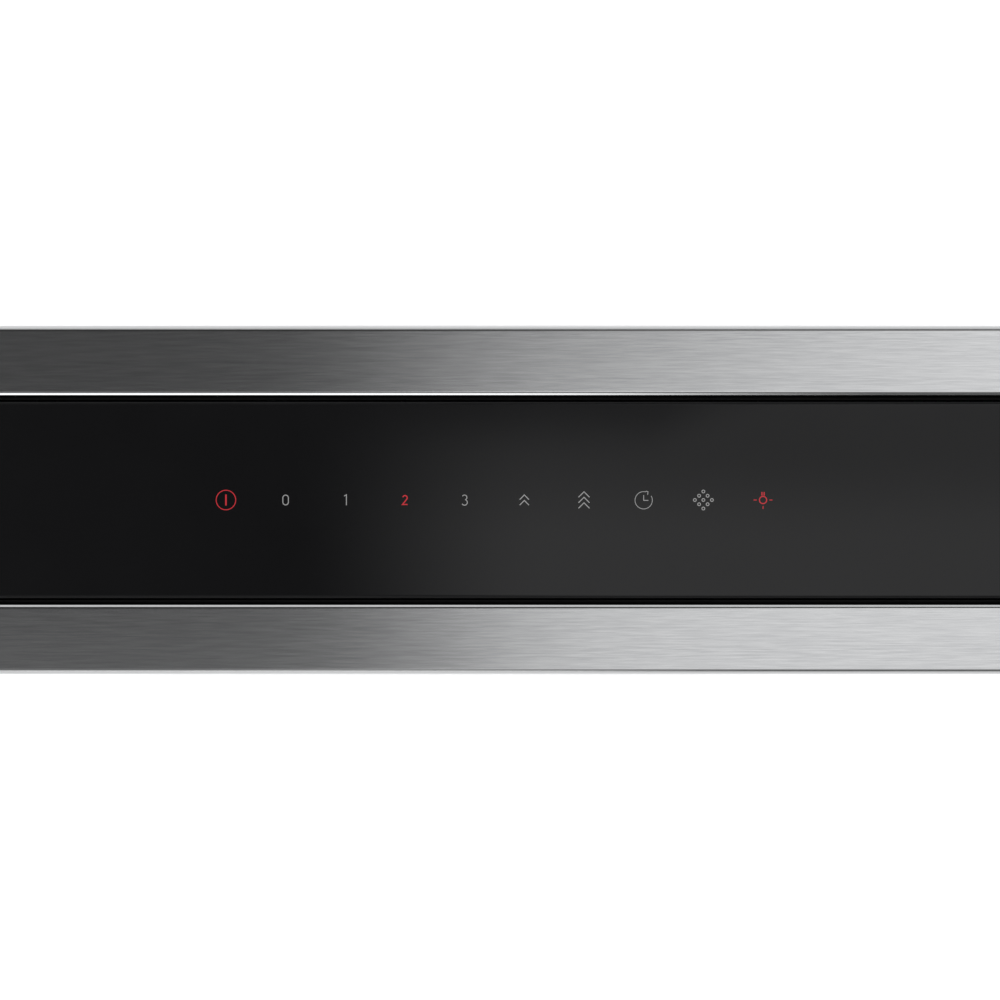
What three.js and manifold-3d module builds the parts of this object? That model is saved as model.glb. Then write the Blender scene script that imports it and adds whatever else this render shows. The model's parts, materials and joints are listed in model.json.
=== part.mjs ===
// A 90 cm downdraft vent for a kitchen worktop, in millimetres.
// X runs along the worktop, +Y to the back, +Z up; the origin is on the floor under the middle of the vent.
// It is drawn closed: the glass cap lies flush with the steel frame, and the chimney is down in its casing.
import * as THREE from 'three';
import { mergeVertices } from 'three/addons/utils/BufferGeometryUtils.js';
import Module from 'manifold-3d';

const wasm = await Module();
wasm.setup();

// ---------- sizes that can be set one by one ----------
const SEAT = 0.2; // air left between two pieces that are screwed or laid together
const RUNNING = 0.35; // clearance of a shaft in its bore

const OPENING_WIDTH = 828; // clear opening of the trim frame
const OPENING_DEPTH = 80;
const OPENING_CORNER = 3.5;
const SIDE_STRIP = 45; // steel at each end of the opening
const FRONT_STRIP = 26.5; // steel in front of and behind the opening
const FRAME_HEIGHT = 4; // above the worktop
const FRAME_SHEET = 1.5;
const FRAME_CORNER = 5;
const RIM_RADIUS = 1.7; // rolled outer edge
const INNER_CHAMFER = 0.6; // bright inner edge
const FRAME_LIP = 10; // inner edge, folded down past the worktop's face
const GASKET_WIDTH = 7;

const LEG_STAND = 80; // floor to the underside of the casing
const CASING_DROP = 677; // worktop's face to the underside of the casing
const END_BAY = 30; // casing past each end of the opening, for rail, belt and bearings
const CASING_DEPTH = 113;
const CASING_SHEET = 1.2;
const TOP_FLANGE = 10;
const END_FLANGE = 14;
const FLOOR_EDGE = 14;
const COVER_WIDTH = 560; // service opening in the front sheet
const COVER_HEIGHT = 200;
const COVER_CENTRE_X = 30;
const COVER_LAP = 14;
const COVER_DISH = 3;
const BEAD_COUNT = 4; // stiffening beads pressed outwards in the front and rear sheets
const BEAD_WIDTH = 24;
const BEAD_RISE = 2.4;
const BEAD_SLOPE = 4;
const BEAD_MARGIN = 48; // from the ends of the beads to the frame, the floor or the service cover

const GLASS_GAP = 2.5; // all round between cap and frame
const GLASS_THICKNESS = 5;
const GLASS_DROP = 0.5; // cap below the frame's face
const GLASS_CORNER = 2;
const GLASS_EDGE = 0.7;
const SHELL_INSET = 2; // chimney walls behind the edge of the cap
const CHIMNEY_HEIGHT = 400;
const CHIMNEY_SHEET = 1.2;
const REAR_HEM = 8; // lower edge of the rear sheet, turned in
const REAR_FLANGE = 12; // its upper edge, under the carrier
const CARRIER_HEIGHT = 20;
const SLOT_HEIGHT = 28; // intake slot under the cap
const PANEL_HEIGHT = 236; // front glass
const PANEL_THICKNESS = 4;
const FILTER_GAP = 11; // air behind the front glass
const FILTER_THICKNESS = 9;
const FILTER_RIM = 9;
const FILTER_COUNT = 3;
const FILTER_SPACING = 6;
const PROFILE_WEB = 2.4; // aluminium side profile
const PROFILE_FLANGE = 13;
const LIGHT_INSET = 19.5; // lamp strip short of the chimney's sides
const LIGHT_DEPTH = 14;
const LIGHT_HEIGHT = 7;
const BOARD_WIDTH = 250;
const BOARD_DEPTH = 42;

const RAIL_BACK_Y = 50; // guide rails stand in the rear half of the ends
const RAIL_WIDTH = 40;
const RAIL_REACH = 14;
const RAIL_WALL = 2.2;
const SHOE_HEIGHT = 76;
const CLAMP_HEIGHT = 30;

const SHAFT_RADIUS = 4;
const SHAFT_Y = -38;
const SHAFT_UNDER_CHIMNEY = 10.5;
const IDLER_DROP = 23; // idler axle under the worktop's face
const PULLEY_RADIUS = 13; // over the teeth
const PULLEY_TEETH = 14;
const TOOTH_DEPTH = 1.3;
const PULLEY_FLANGE = 2.2;
const BELT_WIDTH = 9;
const BELT_THICKNESS = 1.5;
const BELT_INSET = 20; // middle of the belt from the inside of the casing's end

const WHEEL_RADIUS = 90;
const WHEEL_EYE = 72;
const WHEEL_WIDTH = 62;
const BLADE_COUNT = 28;
const BLADE_THICKNESS = 1.3;
const BLADE_SWEEP = 17; // degrees that a blade leans forward from root to tip
const SCROLL_CLEARANCE = 7; // wheel to the tongue
const SCROLL_GROWTH = 56;
const SCROLL_SHEET = 1.2;
const SCROLL_HALF = 35;
const TONGUE_ANGLE = -40;
const TONGUE_RADIUS = 5;
const SCROLL_ABOVE_FLOOR = 12;
const OUTLET_HEIGHT = 44; // straight outlet's mouth above the casing's floor
const MOUTH_HEIGHT = 8; // flare of the inlet
const ADAPTER_NECK = 9.8;
const ADAPTER_COLLAR = 8;
const ADAPTER_FLANGE = 7;
const MOTOR_RADIUS = 36;
const MOTOR_LENGTH = 26;
const MOTOR_NECK = 15;

const DUCT_WIDTH = 222; // flat duct
const DUCT_DEPTH = 89;
const DUCT_WALL = 1.5;
const DUCT_CORNER = 6;
const SPIGOT_DROP = 60;
const SPIGOT_FLANGE = 6;
const LEDGE = 3;
const FLAP_SHEET = 1.2;
const FLAP_PLAY = 0.6; // leaf to the crossbar
const HINGE_RADIUS = 1.6; // leaf's edge, rolled round its pin
const HINGE_DROP = 15; // hinges under the casing
const PIN_RADIUS = 1.1;
const BAR_WIDTH = 4; // crossbar between the two leaves
const BAR_HEIGHT = 8;

const BOX_WIDTH = 240; // control box
const BOX_DEPTH = 60;
const BOX_HEIGHT = 110;
const BOX_INSET = 54; // from the casing's right end
const BOX_WALL = 1.6;

const CLAMP_DROP = 58; // worktop's face to the clamp's arm
const CLAMP_UPRIGHT = 34;

const LEG_SHEET = 3;
const LEG_WIDTH = 96;
const LEG_HEIGHT = 200;
const LEG_FOOT = 46;
const SLOT_WIDTH = 8;
const SLOT_LENGTH = 70;
const FOOT_HOLE_RADIUS = 3.2;

// ---------- levels and half sizes that follow ----------
const CASING_BOTTOM = LEG_STAND;
const WORKTOP = CASING_BOTTOM + CASING_DROP;
const FRAME_TOP = WORKTOP + FRAME_HEIGHT;
const FRAME_X = OPENING_WIDTH / 2 + SIDE_STRIP;
const FRAME_Y = OPENING_DEPTH / 2 + FRONT_STRIP;
const UNDER_FRAME = FRAME_TOP - FRAME_SHEET;
const CASING_X = OPENING_WIDTH / 2 + END_BAY;
const CASING_Y = CASING_DEPTH / 2;
const INSIDE_X = CASING_X - CASING_SHEET;
const INSIDE_Y = CASING_Y - CASING_SHEET;
const FLOOR_TOP = CASING_BOTTOM + 2 * CASING_SHEET + SEAT;

const CAP_X = OPENING_WIDTH / 2 - GLASS_GAP;
const CAP_Y = OPENING_DEPTH / 2 - GLASS_GAP;
const CAP_TOP = FRAME_TOP - GLASS_DROP;
const CAP_UNDER = CAP_TOP - GLASS_THICKNESS;
const SHELL_X = CAP_X - SHELL_INSET;
const SHELL_Y = CAP_Y - SHELL_INSET;
const SHELL_TOP = CAP_UNDER - SEAT;
const CHIMNEY_BOTTOM = CAP_TOP - CHIMNEY_HEIGHT;
const CARRIER_BOTTOM = SHELL_TOP - CARRIER_HEIGHT;
const PANEL_TOP = CARRIER_BOTTOM - SLOT_HEIGHT;
const PANEL_BOTTOM = PANEL_TOP - PANEL_HEIGHT;
const PANEL_BACK_Y = -SHELL_Y + PANEL_THICKNESS;
const FILTER_FRONT_Y = PANEL_BACK_Y + FILTER_GAP;
const FILTER_BACK_Y = FILTER_FRONT_Y + FILTER_THICKNESS;

const SHAFT_Z = CHIMNEY_BOTTOM - SHAFT_UNDER_CHIMNEY;
const IDLER_Z = WORKTOP - IDLER_DROP;
const BELT_INNER = PULLEY_RADIUS + RUNNING;
const BELT_OUTER = BELT_INNER + BELT_THICKNESS;
const BELT_X = INSIDE_X - BELT_INSET;

const SCROLL_START = WHEEL_RADIUS + SCROLL_CLEARANCE;
const SCROLL_TURN = 360 + TONGUE_ANGLE;
const SCROLL_END = SCROLL_START + SCROLL_GROWTH;
const MOUTH_Z = FLOOR_TOP + OUTLET_HEIGHT;

// ---------- colours ----------
function material(color, roughness, metalness) {
  return new THREE.MeshStandardMaterial({ color, roughness, metalness, flatShading: true });
}
const brushedSteel = () => material(0xb9bbbd, 0.32, 1);
const galvanised = () => material(0xa3a8ab, 0.48, 1);
const aluminium = () => material(0xc6c9cb, 0.38, 1);
const darkSteel = () => material(0x6c6f72, 0.4, 1);
const blackGlass = () => material(0x0b0c0e, 0.06, 0);
const blackPlastic = () => material(0x1b1c1e, 0.5, 0);
const blackRubber = () => material(0x101011, 0.75, 0);
const greyFoam = () => material(0x3a3b3d, 0.9, 0);
const whitePlastic = () => material(0xdcdcd6, 0.45, 0);
const opalPlastic = () => material(0xf3f4f2, 0.35, 0);
const greenBoard = () => material(0x1e5a35, 0.55, 0);

// ---------- solids from three.js geometry ----------
const radians = THREE.MathUtils.degToRad;

// Keeps positions only, joins equal corners and turns the faces outwards.
function closed(geometry) {
  const bare = new THREE.BufferGeometry();
  bare.setAttribute('position', geometry.getAttribute('position').clone());
  if (geometry.index) bare.setIndex(geometry.index.clone());
  const merged = mergeVertices(bare, 1e-4);
  const p = merged.getAttribute('position');
  const kept = [];
  let volume = 0;
  for (let i = 0; i < merged.index.count; i += 3) {
    const [a, b, c] = [0, 1, 2].map((k) => merged.index.getX(i + k));
    if (a === b || b === c || a === c) continue;
    kept.push(a, b, c);
    const [u, v, w] = [a, b, c].map((n) => new THREE.Vector3().fromBufferAttribute(p, n));
    volume += u.dot(v.cross(w));
  }
  if (volume < 0) kept.reverse();
  merged.setIndex(kept);
  return merged;
}

function toSolid(geometry) {
  const tidy = closed(geometry);
  const vertProperties = tidy.getAttribute('position').array;
  const triVerts = new Uint32Array(tidy.index.array);
  return new wasm.Manifold(new wasm.Mesh({ numProp: 3, vertProperties, triVerts }));
}

function fromSolid(solid) {
  const mesh = solid.getMesh();
  const geometry = new THREE.BufferGeometry();
  geometry.setAttribute('position', new THREE.BufferAttribute(new Float32Array(mesh.vertProperties), 3));
  geometry.setIndex(new THREE.BufferAttribute(new Uint32Array(mesh.triVerts), 1));
  return geometry;
}

function join(first, ...others) {
  return fromSolid(others.reduce((whole, g) => whole.add(toSolid(g)), toSolid(first)));
}

function cut(body, ...tools) {
  return fromSolid(tools.reduce((rest, g) => rest.subtract(toSolid(g)), toSolid(body)));
}

function moved(geometry, x, y, z) {
  return geometry.clone().translate(x, y, z);
}

// A block between two corners.
function block(x0, x1, y0, y1, z0, z1) {
  const shape = new THREE.Shape([
    new THREE.Vector2(x0, y0), new THREE.Vector2(x1, y0), new THREE.Vector2(x1, y1), new THREE.Vector2(x0, y1),
  ]);
  return alongZ(shape, z0, z1);
}

const Y_Z_PROFILE = new THREE.Matrix4().set(0, 0, 1, 0, 1, 0, 0, 0, 0, 1, 0, 0, 0, 0, 0, 1);
const X_Z_PROFILE = new THREE.Matrix4().set(1, 0, 0, 0, 0, 0, -1, 0, 0, 1, 0, 0, 0, 0, 0, 1);

function extruded(shape, from, to, curveSegments = 6) {
  const geometry = new THREE.ExtrudeGeometry(shape, { depth: to - from, bevelEnabled: false, curveSegments });
  return geometry.translate(0, 0, from);
}
// A plan profile in (x, y), a side profile in (y, z) and a front profile in (x, z).
const alongZ = (shape, z0, z1, curve) => extruded(shape, z0, z1, curve);
const alongX = (shape, x0, x1, curve) => extruded(shape, x0, x1, curve).applyMatrix4(Y_Z_PROFILE);
const alongY = (shape, y0, y1, curve) => extruded(shape, -y1, -y0, curve).applyMatrix4(X_Z_PROFILE);

// Round pieces: the profile gives pairs of radius and place on the axis.
const AXIS_X = new THREE.Matrix4().set(0, 1, 0, 0, 0, 0, 1, 0, 1, 0, 0, 0, 0, 0, 0, 1);
const AXIS_Z = new THREE.Matrix4().set(1, 0, 0, 0, 0, 0, -1, 0, 0, 1, 0, 0, 0, 0, 0, 1);
function turnedY(profile, segments) {
  return new THREE.LatheGeometry(profile.map(([r, h]) => new THREE.Vector2(r, h)), segments);
}
const turnedX = (profile, segments) => turnedY(profile, segments).applyMatrix4(AXIS_X);
const turnedZ = (profile, segments) => turnedY(profile, segments).applyMatrix4(AXIS_Z);

// The outline of a folded sheet: one skin follows the path, the other lies to its left.
function folded(path, thickness) {
  const points = path.map(([a, b]) => new THREE.Vector2(a, b));
  const inner = points.map((point, i) => {
    const before = i > 0 ? point.clone().sub(points[i - 1]).normalize() : null;
    const after = i < points.length - 1 ? points[i + 1].clone().sub(point).normalize() : null;
    const normals = [before, after].filter((d) => d).map((d) => new THREE.Vector2(-d.y, d.x));
    const middle = normals.reduce((sum, n) => sum.clone().add(n)).normalize();
    return point.clone().addScaledVector(middle, thickness / middle.dot(normals[0]));
  });
  return new THREE.Shape([...points, ...inner.reverse()]);
}

// A rectangle with round corners as a plan outline.
function roundedPoints(halfX, halfY, radius, steps = 3) {
  const points = [];
  const corners = [[1, 1, 0], [-1, 1, 90], [-1, -1, 180], [1, -1, 270]];
  for (const [sx, sy, start] of corners)
    for (let i = 0; i <= steps; i++) {
      const angle = radians(start + (90 * i) / steps);
      const x = sx * (halfX - radius) + radius * Math.cos(angle);
      const y = sy * (halfY - radius) + radius * Math.sin(angle);
      points.push(new THREE.Vector2(x, y));
    }
  return points;
}

function roundedShape(x, y, halfX, halfY, radius) {
  return new THREE.Shape(roundedPoints(halfX, halfY, radius).map((p) => p.add(new THREE.Vector2(x, y))));
}

// Skins stretched over level loops [half x, half y, corner radius, z]. A ring closes on its first loop.
function lofted(loops, ring, steps = 3) {
  const positions = [];
  const index = [];
  for (const [halfX, halfY, radius, z] of loops)
    for (const p of roundedPoints(halfX, halfY, radius, steps)) positions.push(p.x, p.y, z);
  const count = 4 * (steps + 1);
  const bands = ring ? loops.length : loops.length - 1;
  for (let band = 0; band < bands; band++)
    for (let i = 0; i < count; i++) {
      const a = band * count + i;
      const b = band * count + ((i + 1) % count);
      const c = ((band + 1) % loops.length) * count + i;
      const d = ((band + 1) % loops.length) * count + ((i + 1) % count);
      index.push(a, b, d, a, d, c);
    }
  if (!ring)
    for (let i = 1; i < count - 1; i++) {
      const last = (loops.length - 1) * count;
      index.push(0, i + 1, i, last, last + i, last + i + 1);
    }
  const geometry = new THREE.BufferGeometry();
  geometry.setAttribute('position', new THREE.Float32BufferAttribute(positions, 3));
  geometry.setIndex(index);
  return closed(geometry);
}
const ring = (loops, steps) => lofted(loops, true, steps);
const solidLoft = (loops, steps) => lofted(loops, false, steps);

const vent = new THREE.Group();
function add(name, geometry, finish, group = vent) {
  const shown = closed(geometry).toNonIndexed();
  shown.computeVertexNormals();
  const mesh = new THREE.Mesh(shown, finish);
  mesh.name = name;
  group.add(mesh);
}
// The right-hand twin of a left-hand piece.
const mirrored = (geometry) => closed(geometry.clone().scale(-1, 1, 1));
function addPair(name, leftGeometry, finish, group = vent) {
  add(name + '_left', leftGeometry, finish(), group);
  add(name + '_right', mirrored(leftGeometry), finish(), group);
}

// ---------- frame on the worktop ----------
function trimFrame() {
  const innerX = OPENING_WIDTH / 2;
  const innerY = OPENING_DEPTH / 2;
  const loops = [
    [innerX, innerY, OPENING_CORNER, WORKTOP - FRAME_LIP],
    [innerX, innerY, OPENING_CORNER, FRAME_TOP - INNER_CHAMFER],
    [innerX + INNER_CHAMFER, innerY + INNER_CHAMFER, OPENING_CORNER + INNER_CHAMFER, FRAME_TOP],
  ];
  const rollSteps = 3;
  for (let i = 0; i <= rollSteps; i++) {
    const angle = radians((90 * i) / rollSteps);
    const inset = RIM_RADIUS * (1 - Math.sin(angle));
    const drop = RIM_RADIUS * (1 - Math.cos(angle));
    loops.push([FRAME_X - inset, FRAME_Y - inset, FRAME_CORNER - inset, FRAME_TOP - drop]);
  }
  const skinX = innerX + FRAME_SHEET;
  const skinY = innerY + FRAME_SHEET;
  const skinCorner = OPENING_CORNER + FRAME_SHEET;
  loops.push(
    [FRAME_X, FRAME_Y, FRAME_CORNER, WORKTOP],
    [FRAME_X - FRAME_SHEET, FRAME_Y - FRAME_SHEET, FRAME_CORNER - FRAME_SHEET, WORKTOP],
    [FRAME_X - FRAME_SHEET, FRAME_Y - FRAME_SHEET, FRAME_CORNER - FRAME_SHEET, UNDER_FRAME],
    [skinX, skinY, skinCorner, UNDER_FRAME],
    [skinX, skinY, skinCorner, WORKTOP - FRAME_LIP],
  );
  return ring(loops);
}

function frameGasket() {
  const outerX = FRAME_X - FRAME_SHEET - SEAT;
  const outerY = FRAME_Y - FRAME_SHEET - SEAT;
  const corner = FRAME_CORNER - FRAME_SHEET - SEAT;
  const top = UNDER_FRAME - SEAT;
  const bottom = WORKTOP + SEAT;
  return ring([
    [outerX, outerY, corner, bottom],
    [outerX, outerY, corner, top],
    [outerX - GASKET_WIDTH, outerY - GASKET_WIDTH, corner / 2, top],
    [outerX - GASKET_WIDTH, outerY - GASKET_WIDTH, corner / 2, bottom],
  ]);
}

// A rubber lip in the gap: a foot on the frame's folded edge and a blade that leans towards the cap.
function gapSeal() {
  const x = OPENING_WIDTH / 2 - SEAT;
  const y = OPENING_DEPTH / 2 - SEAT;
  const foot = 0.9;
  const blade = GLASS_GAP * 0.72;
  const low = WORKTOP - FRAME_LIP;
  const high = CAP_TOP - 1.6;
  const corner = OPENING_CORNER - SEAT;
  const at = (inset, z) => [x - inset, y - inset, corner - inset / 2, z];
  return ring([
    at(0, low), at(0, WORKTOP - 1), at(blade - 0.5, high), at(blade, high - 0.3), at(foot, WORKTOP - 3), at(foot, low),
  ]);
}

// ---------- casing ----------
// Front and rear sheets: flanges folded inwards at the frame and under the floor, beads up to the frame.
function casingSheet(side, beadLow) {
  const y = side * CASING_Y;
  const top = UNDER_FRAME - SEAT;
  const path = [
    [y - side * TOP_FLANGE, CASING_BOTTOM], [y, CASING_BOTTOM], [y, top], [y - side * TOP_FLANGE, top],
  ];
  if (side < 0) path.reverse();
  const sheet = alongX(folded(path, CASING_SHEET), -CASING_X, CASING_X);
  const form = beadBlock(beadLow, UNDER_FRAME - BEAD_MARGIN);
  const outward = side < 0 ? form : closed(form.scale(1, -1, 1));
  const places = [];
  for (let i = 0; i < BEAD_COUNT; i++) places.push((i - (BEAD_COUNT - 1) / 2) * ((2 * CASING_X) / BEAD_COUNT));
  const raised = places.map((x) => moved(outward, x, y, 0));
  const hollow = places.map((x) => moved(outward, x, y - side * CASING_SHEET, 0));
  return cut(join(sheet, ...raised), ...hollow);
}

// The block that an upright bead fills, from half a sheet behind the face to its narrower crest.
function beadBlock(low, high) {
  const halfX = BEAD_WIDTH / 2;
  const halfZ = (high - low) / 2;
  const end = halfX - 0.01;
  const block = solidLoft([
    [halfX, halfZ, end, -CASING_SHEET / 2],
    [halfX, halfZ, end, 0],
    [halfX - BEAD_SLOPE, halfZ - BEAD_SLOPE, end - BEAD_SLOPE, BEAD_RISE],
  ]);
  return block.applyMatrix4(X_Z_PROFILE).translate(0, 0, (low + high) / 2);
}

const COVER_Z = FLOOR_TOP + 28 + COVER_HEIGHT / 2;

function casingFront() {
  const opening = roundedShape(COVER_CENTRE_X, COVER_Z, COVER_WIDTH / 2, COVER_HEIGHT / 2, 10);
  const beadLow = COVER_Z + COVER_HEIGHT / 2 + COVER_LAP + BEAD_MARGIN / 2;
  return cut(casingSheet(-1, beadLow), alongY(opening, -CASING_Y - 1, -CASING_Y + CASING_SHEET + 1));
}
const casingRear = () => casingSheet(1, FLOOR_TOP + BEAD_MARGIN);

// A shallow dished pan with a flat rim that laps over the opening.
function serviceCover() {
  const halfX = COVER_WIDTH / 2;
  const halfZ = COVER_HEIGHT / 2;
  const wall = CASING_SHEET;
  const loop = (grow, corner, level) => [halfX + grow, halfZ + grow, corner, level];
  const pan = solidLoft([
    loop(-COVER_LAP + wall, 9, COVER_DISH),
    loop(-wall, 12, 0),
    loop(COVER_LAP, 16, 0),
    loop(COVER_LAP, 16, wall),
    loop(0, 13, wall),
    loop(-COVER_LAP, 9, COVER_DISH + wall),
  ]);
  return pan.applyMatrix4(X_Z_PROFILE).translate(COVER_CENTRE_X, -CASING_Y - SEAT, COVER_Z);
}

// End sheets: a web with its long edges folded inwards behind the front and rear sheets.
function casingEnd() {
  const halfY = INSIDE_Y - SEAT;
  const path = [
    [-CASING_X + END_FLANGE, halfY], [-CASING_X, halfY], [-CASING_X, -halfY], [-CASING_X + END_FLANGE, -halfY],
  ];
  const sheet = alongZ(folded(path, CASING_SHEET), CASING_BOTTOM + CASING_SHEET + SEAT, UNDER_FRAME - CASING_SHEET - 2 * SEAT);
  return sheet;
}

function ductHole(grow) {
  return [DUCT_WIDTH / 2 + grow, DUCT_DEPTH / 2 + grow, DUCT_CORNER + grow];
}

// The floor is a tray with an upturned edge, a hole for the duct and one for the lead.
function casingFloor() {
  const outX = INSIDE_X - SEAT;
  const outY = INSIDE_Y - CASING_SHEET - 2 * SEAT;
  const bottom = CASING_BOTTOM + CASING_SHEET + SEAT;
  const rim = bottom + FLOOR_EDGE;
  const hole = ductHole(SEAT);
  const tray = ring([
    [...hole, bottom],
    [outX, outY, 3, bottom],
    [outX, outY, 3, rim],
    [outX - CASING_SHEET, outY - CASING_SHEET, 3 - CASING_SHEET, rim],
    [outX - CASING_SHEET, outY - CASING_SHEET, 3 - CASING_SHEET, FLOOR_TOP],
    [...hole, FLOOR_TOP],
  ]);
  const lead = turnedZ([[0, bottom - 1], [GLAND_RADIUS + SEAT, bottom - 1], [GLAND_RADIUS + SEAT, FLOOR_TOP + 1], [0, FLOOR_TOP + 1]], 20);
  return cut(tray, moved(lead, BOX_CENTRE_X, GLAND_Y, 0));
}
const GLAND_RADIUS = 8;
const GLAND_Y = 18;

// Gland for the mains lead: collar under the floor, thread and nut above it, bored through.
function cableGland() {
  const bore = 4.2;
  const under = CASING_BOTTOM + CASING_SHEET;
  const gland = turnedZ([
    [bore, under - 16], [GLAND_RADIUS - 1.5, under - 16], [GLAND_RADIUS + 1, under - 11], [GLAND_RADIUS + 3, under - 5],
    [GLAND_RADIUS + 3, under], [GLAND_RADIUS, under], [GLAND_RADIUS, FLOOR_TOP + SEAT], [GLAND_RADIUS + 3.5, FLOOR_TOP + SEAT],
    [GLAND_RADIUS + 3.5, FLOOR_TOP + 4], [GLAND_RADIUS, FLOOR_TOP + 4], [GLAND_RADIUS, FLOOR_TOP + 8], [bore, FLOOR_TOP + 8],
    [bore, under - 16],
  ], 12);
  return moved(gland, BOX_CENTRE_X, GLAND_Y, 0);
}

// Bracket on the casing's end whose jack screw presses up under the worktop.
const CLAMP_ARM_Z = WORKTOP - CLAMP_DROP;
const CLAMP_SHEET = 2;
const CLAMP_WIDTH = 32;
function worktopClamp() {
  const wall = -CASING_X - SEAT;
  const arm = -FRAME_X + 2;
  const path = [[arm, CLAMP_ARM_Z], [wall, CLAMP_ARM_Z], [wall, CLAMP_ARM_Z + CLAMP_UPRIGHT]];
  const bracket = alongY(folded(path, CLAMP_SHEET), -CLAMP_WIDTH / 2, CLAMP_WIDTH / 2);
  const screwX = (wall + arm) / 2 - 1.5;
  const screw = turnedZ([
    [0, CLAMP_ARM_Z - 22], [3, CLAMP_ARM_Z - 22], [3, CLAMP_ARM_Z + 16], [4.4, CLAMP_ARM_Z + 16], [4.4, CLAMP_ARM_Z + 18.5], [0, CLAMP_ARM_Z + 18.5],
  ], 12);
  return join(bracket, moved(screw, screwX, 0, 0));
}

// Adjustable leg: an angle outside the casing's end, with two long slots for its clamp screws and two holes in its foot.
function supportLeg() {
  const outside = -CASING_X - SEAT - LEG_SHEET;
  const path = [[outside + LEG_FOOT, 0], [outside, 0], [outside, LEG_HEIGHT]];
  const angle = alongY(folded(path.reverse(), LEG_SHEET), -LEG_WIDTH / 2, LEG_WIDTH / 2);
  const slots = [-1, 1].map((side) => {
    const z = LEG_STAND + 12 + SLOT_LENGTH / 2;
    const shape = roundedShape(side * LEG_WIDTH / 4, z, SLOT_WIDTH / 2, SLOT_LENGTH / 2, SLOT_WIDTH / 2 - 0.01);
    return alongX(shape, outside - 1, outside + LEG_SHEET + 1);
  });
  const drill = turnedZ([[0, -1], [FOOT_HOLE_RADIUS, -1], [FOOT_HOLE_RADIUS, LEG_SHEET + 1], [0, LEG_SHEET + 1]], 12);
  const holes = [-1, 1].map((side) => moved(drill, outside + LEG_FOOT / 2, (side * LEG_WIDTH) / 4, 0));
  return cut(angle, ...slots, ...holes);
}

// ---------- guide rails and toothed belt drive ----------
function guideRail() {
  const wall = -INSIDE_X + SEAT;
  const mouth = wall + RAIL_REACH;
  const front = RAIL_BACK_Y - RAIL_WIDTH;
  const lip = 3;
  const path = [
    [mouth, RAIL_BACK_Y - lip - RAIL_WALL], [mouth, RAIL_BACK_Y], [wall, RAIL_BACK_Y],
    [wall, front], [mouth, front], [mouth, front + lip + RAIL_WALL],
  ];
  return alongZ(folded(path, RAIL_WALL), SHAFT_Z - 20, WORKTOP - 6);
}

// Runs in the rail and holds the belt: shoe, neck, side plate and the two jaws of the belt clamp in one casting.
function carriage() {
  const railWall = -INSIDE_X + SEAT + RAIL_WALL;
  const mouth = -INSIDE_X + SEAT + RAIL_REACH;
  const play = 0.4;
  const lip = 3 + RAIL_WALL;
  const backY = RAIL_BACK_Y - RAIL_WALL - play;
  const frontY = RAIL_BACK_Y - RAIL_WIDTH + RAIL_WALL + play;
  const neckBack = RAIL_BACK_Y - lip - play;
  const neckFront = RAIL_BACK_Y - RAIL_WIDTH + lip + play;
  const hostX = -SHELL_X - SEAT;
  const low = CHIMNEY_BOTTOM + 4;
  const high = low + SHOE_HEIGHT;
  const shoe = new THREE.Shape([
    new THREE.Vector2(railWall + play, frontY), new THREE.Vector2(mouth - RAIL_WALL - play, frontY),
    new THREE.Vector2(mouth - RAIL_WALL - play, neckFront), new THREE.Vector2(hostX - 5, neckFront),
    new THREE.Vector2(hostX - 5, neckFront - 6), new THREE.Vector2(hostX, neckFront - 6),
    new THREE.Vector2(hostX, neckBack + 5), new THREE.Vector2(hostX - 5, neckBack + 5),
    new THREE.Vector2(hostX - 5, neckBack), new THREE.Vector2(mouth - RAIL_WALL - play, neckBack),
    new THREE.Vector2(mouth - RAIL_WALL - play, backY), new THREE.Vector2(railWall + play, backY),
  ]);
  const beltY = SHAFT_Y + BELT_INNER;
  const jawFront = beltY - 6;
  const jaw = block(-BELT_X - BELT_WIDTH / 2 - 4, hostX, jawFront, beltY + BELT_THICKNESS + 6, low, low + CLAMP_HEIGHT);
  const arm = block(hostX - 4, hostX, jawFront, neckFront, low, low + CLAMP_HEIGHT + 16);
  const passage = block(
    -BELT_X - BELT_WIDTH / 2 - 0.4, -BELT_X + BELT_WIDTH / 2 + 0.4,
    beltY - 0.35, beltY + BELT_THICKNESS + 0.35, low - 1, low + CLAMP_HEIGHT + 1,
  );
  return cut(join(alongZ(shoe, low, high), jaw, arm), passage);
}

// A toothed pulley with a flange at each side.
function pulley(z) {
  const points = [];
  const pitch = 360 / PULLEY_TEETH;
  const rim = [[0.08, TOOTH_DEPTH], [0.42, TOOTH_DEPTH], [0.54, 0], [0.96, 0]];
  for (let tooth = 0; tooth < PULLEY_TEETH; tooth++)
    for (const [share, depth] of rim) {
      const angle = radians(pitch * (tooth + share));
      const radius = PULLEY_RADIUS - depth;
      points.push(new THREE.Vector2(SHAFT_Y + radius * Math.cos(angle), z + radius * Math.sin(angle)));
    }
  const halfTrack = BELT_WIDTH / 2 + 0.5;
  const x0 = -BELT_X - halfTrack;
  const x1 = -BELT_X + halfTrack;
  const wheel = alongX(new THREE.Shape(points), x0 - 0.5, x1 + 0.5);
  const disc = (from, to) => moved(turnedX([[0, from], [PULLEY_RADIUS + PULLEY_FLANGE, from], [PULLEY_RADIUS + PULLEY_FLANGE, to], [0, to]], PULLEY_TEETH), 0, SHAFT_Y, z);
  const bore = moved(turnedX([[0, x0 - 9], [SHAFT_RADIUS + RUNNING, x0 - 9], [SHAFT_RADIUS + RUNNING, x1 + 9], [0, x1 + 9]], 12), 0, SHAFT_Y, z);
  return cut(join(wheel, disc(x0 - 1.4, x0), disc(x1, x1 + 1.4)), bore);
}

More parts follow.
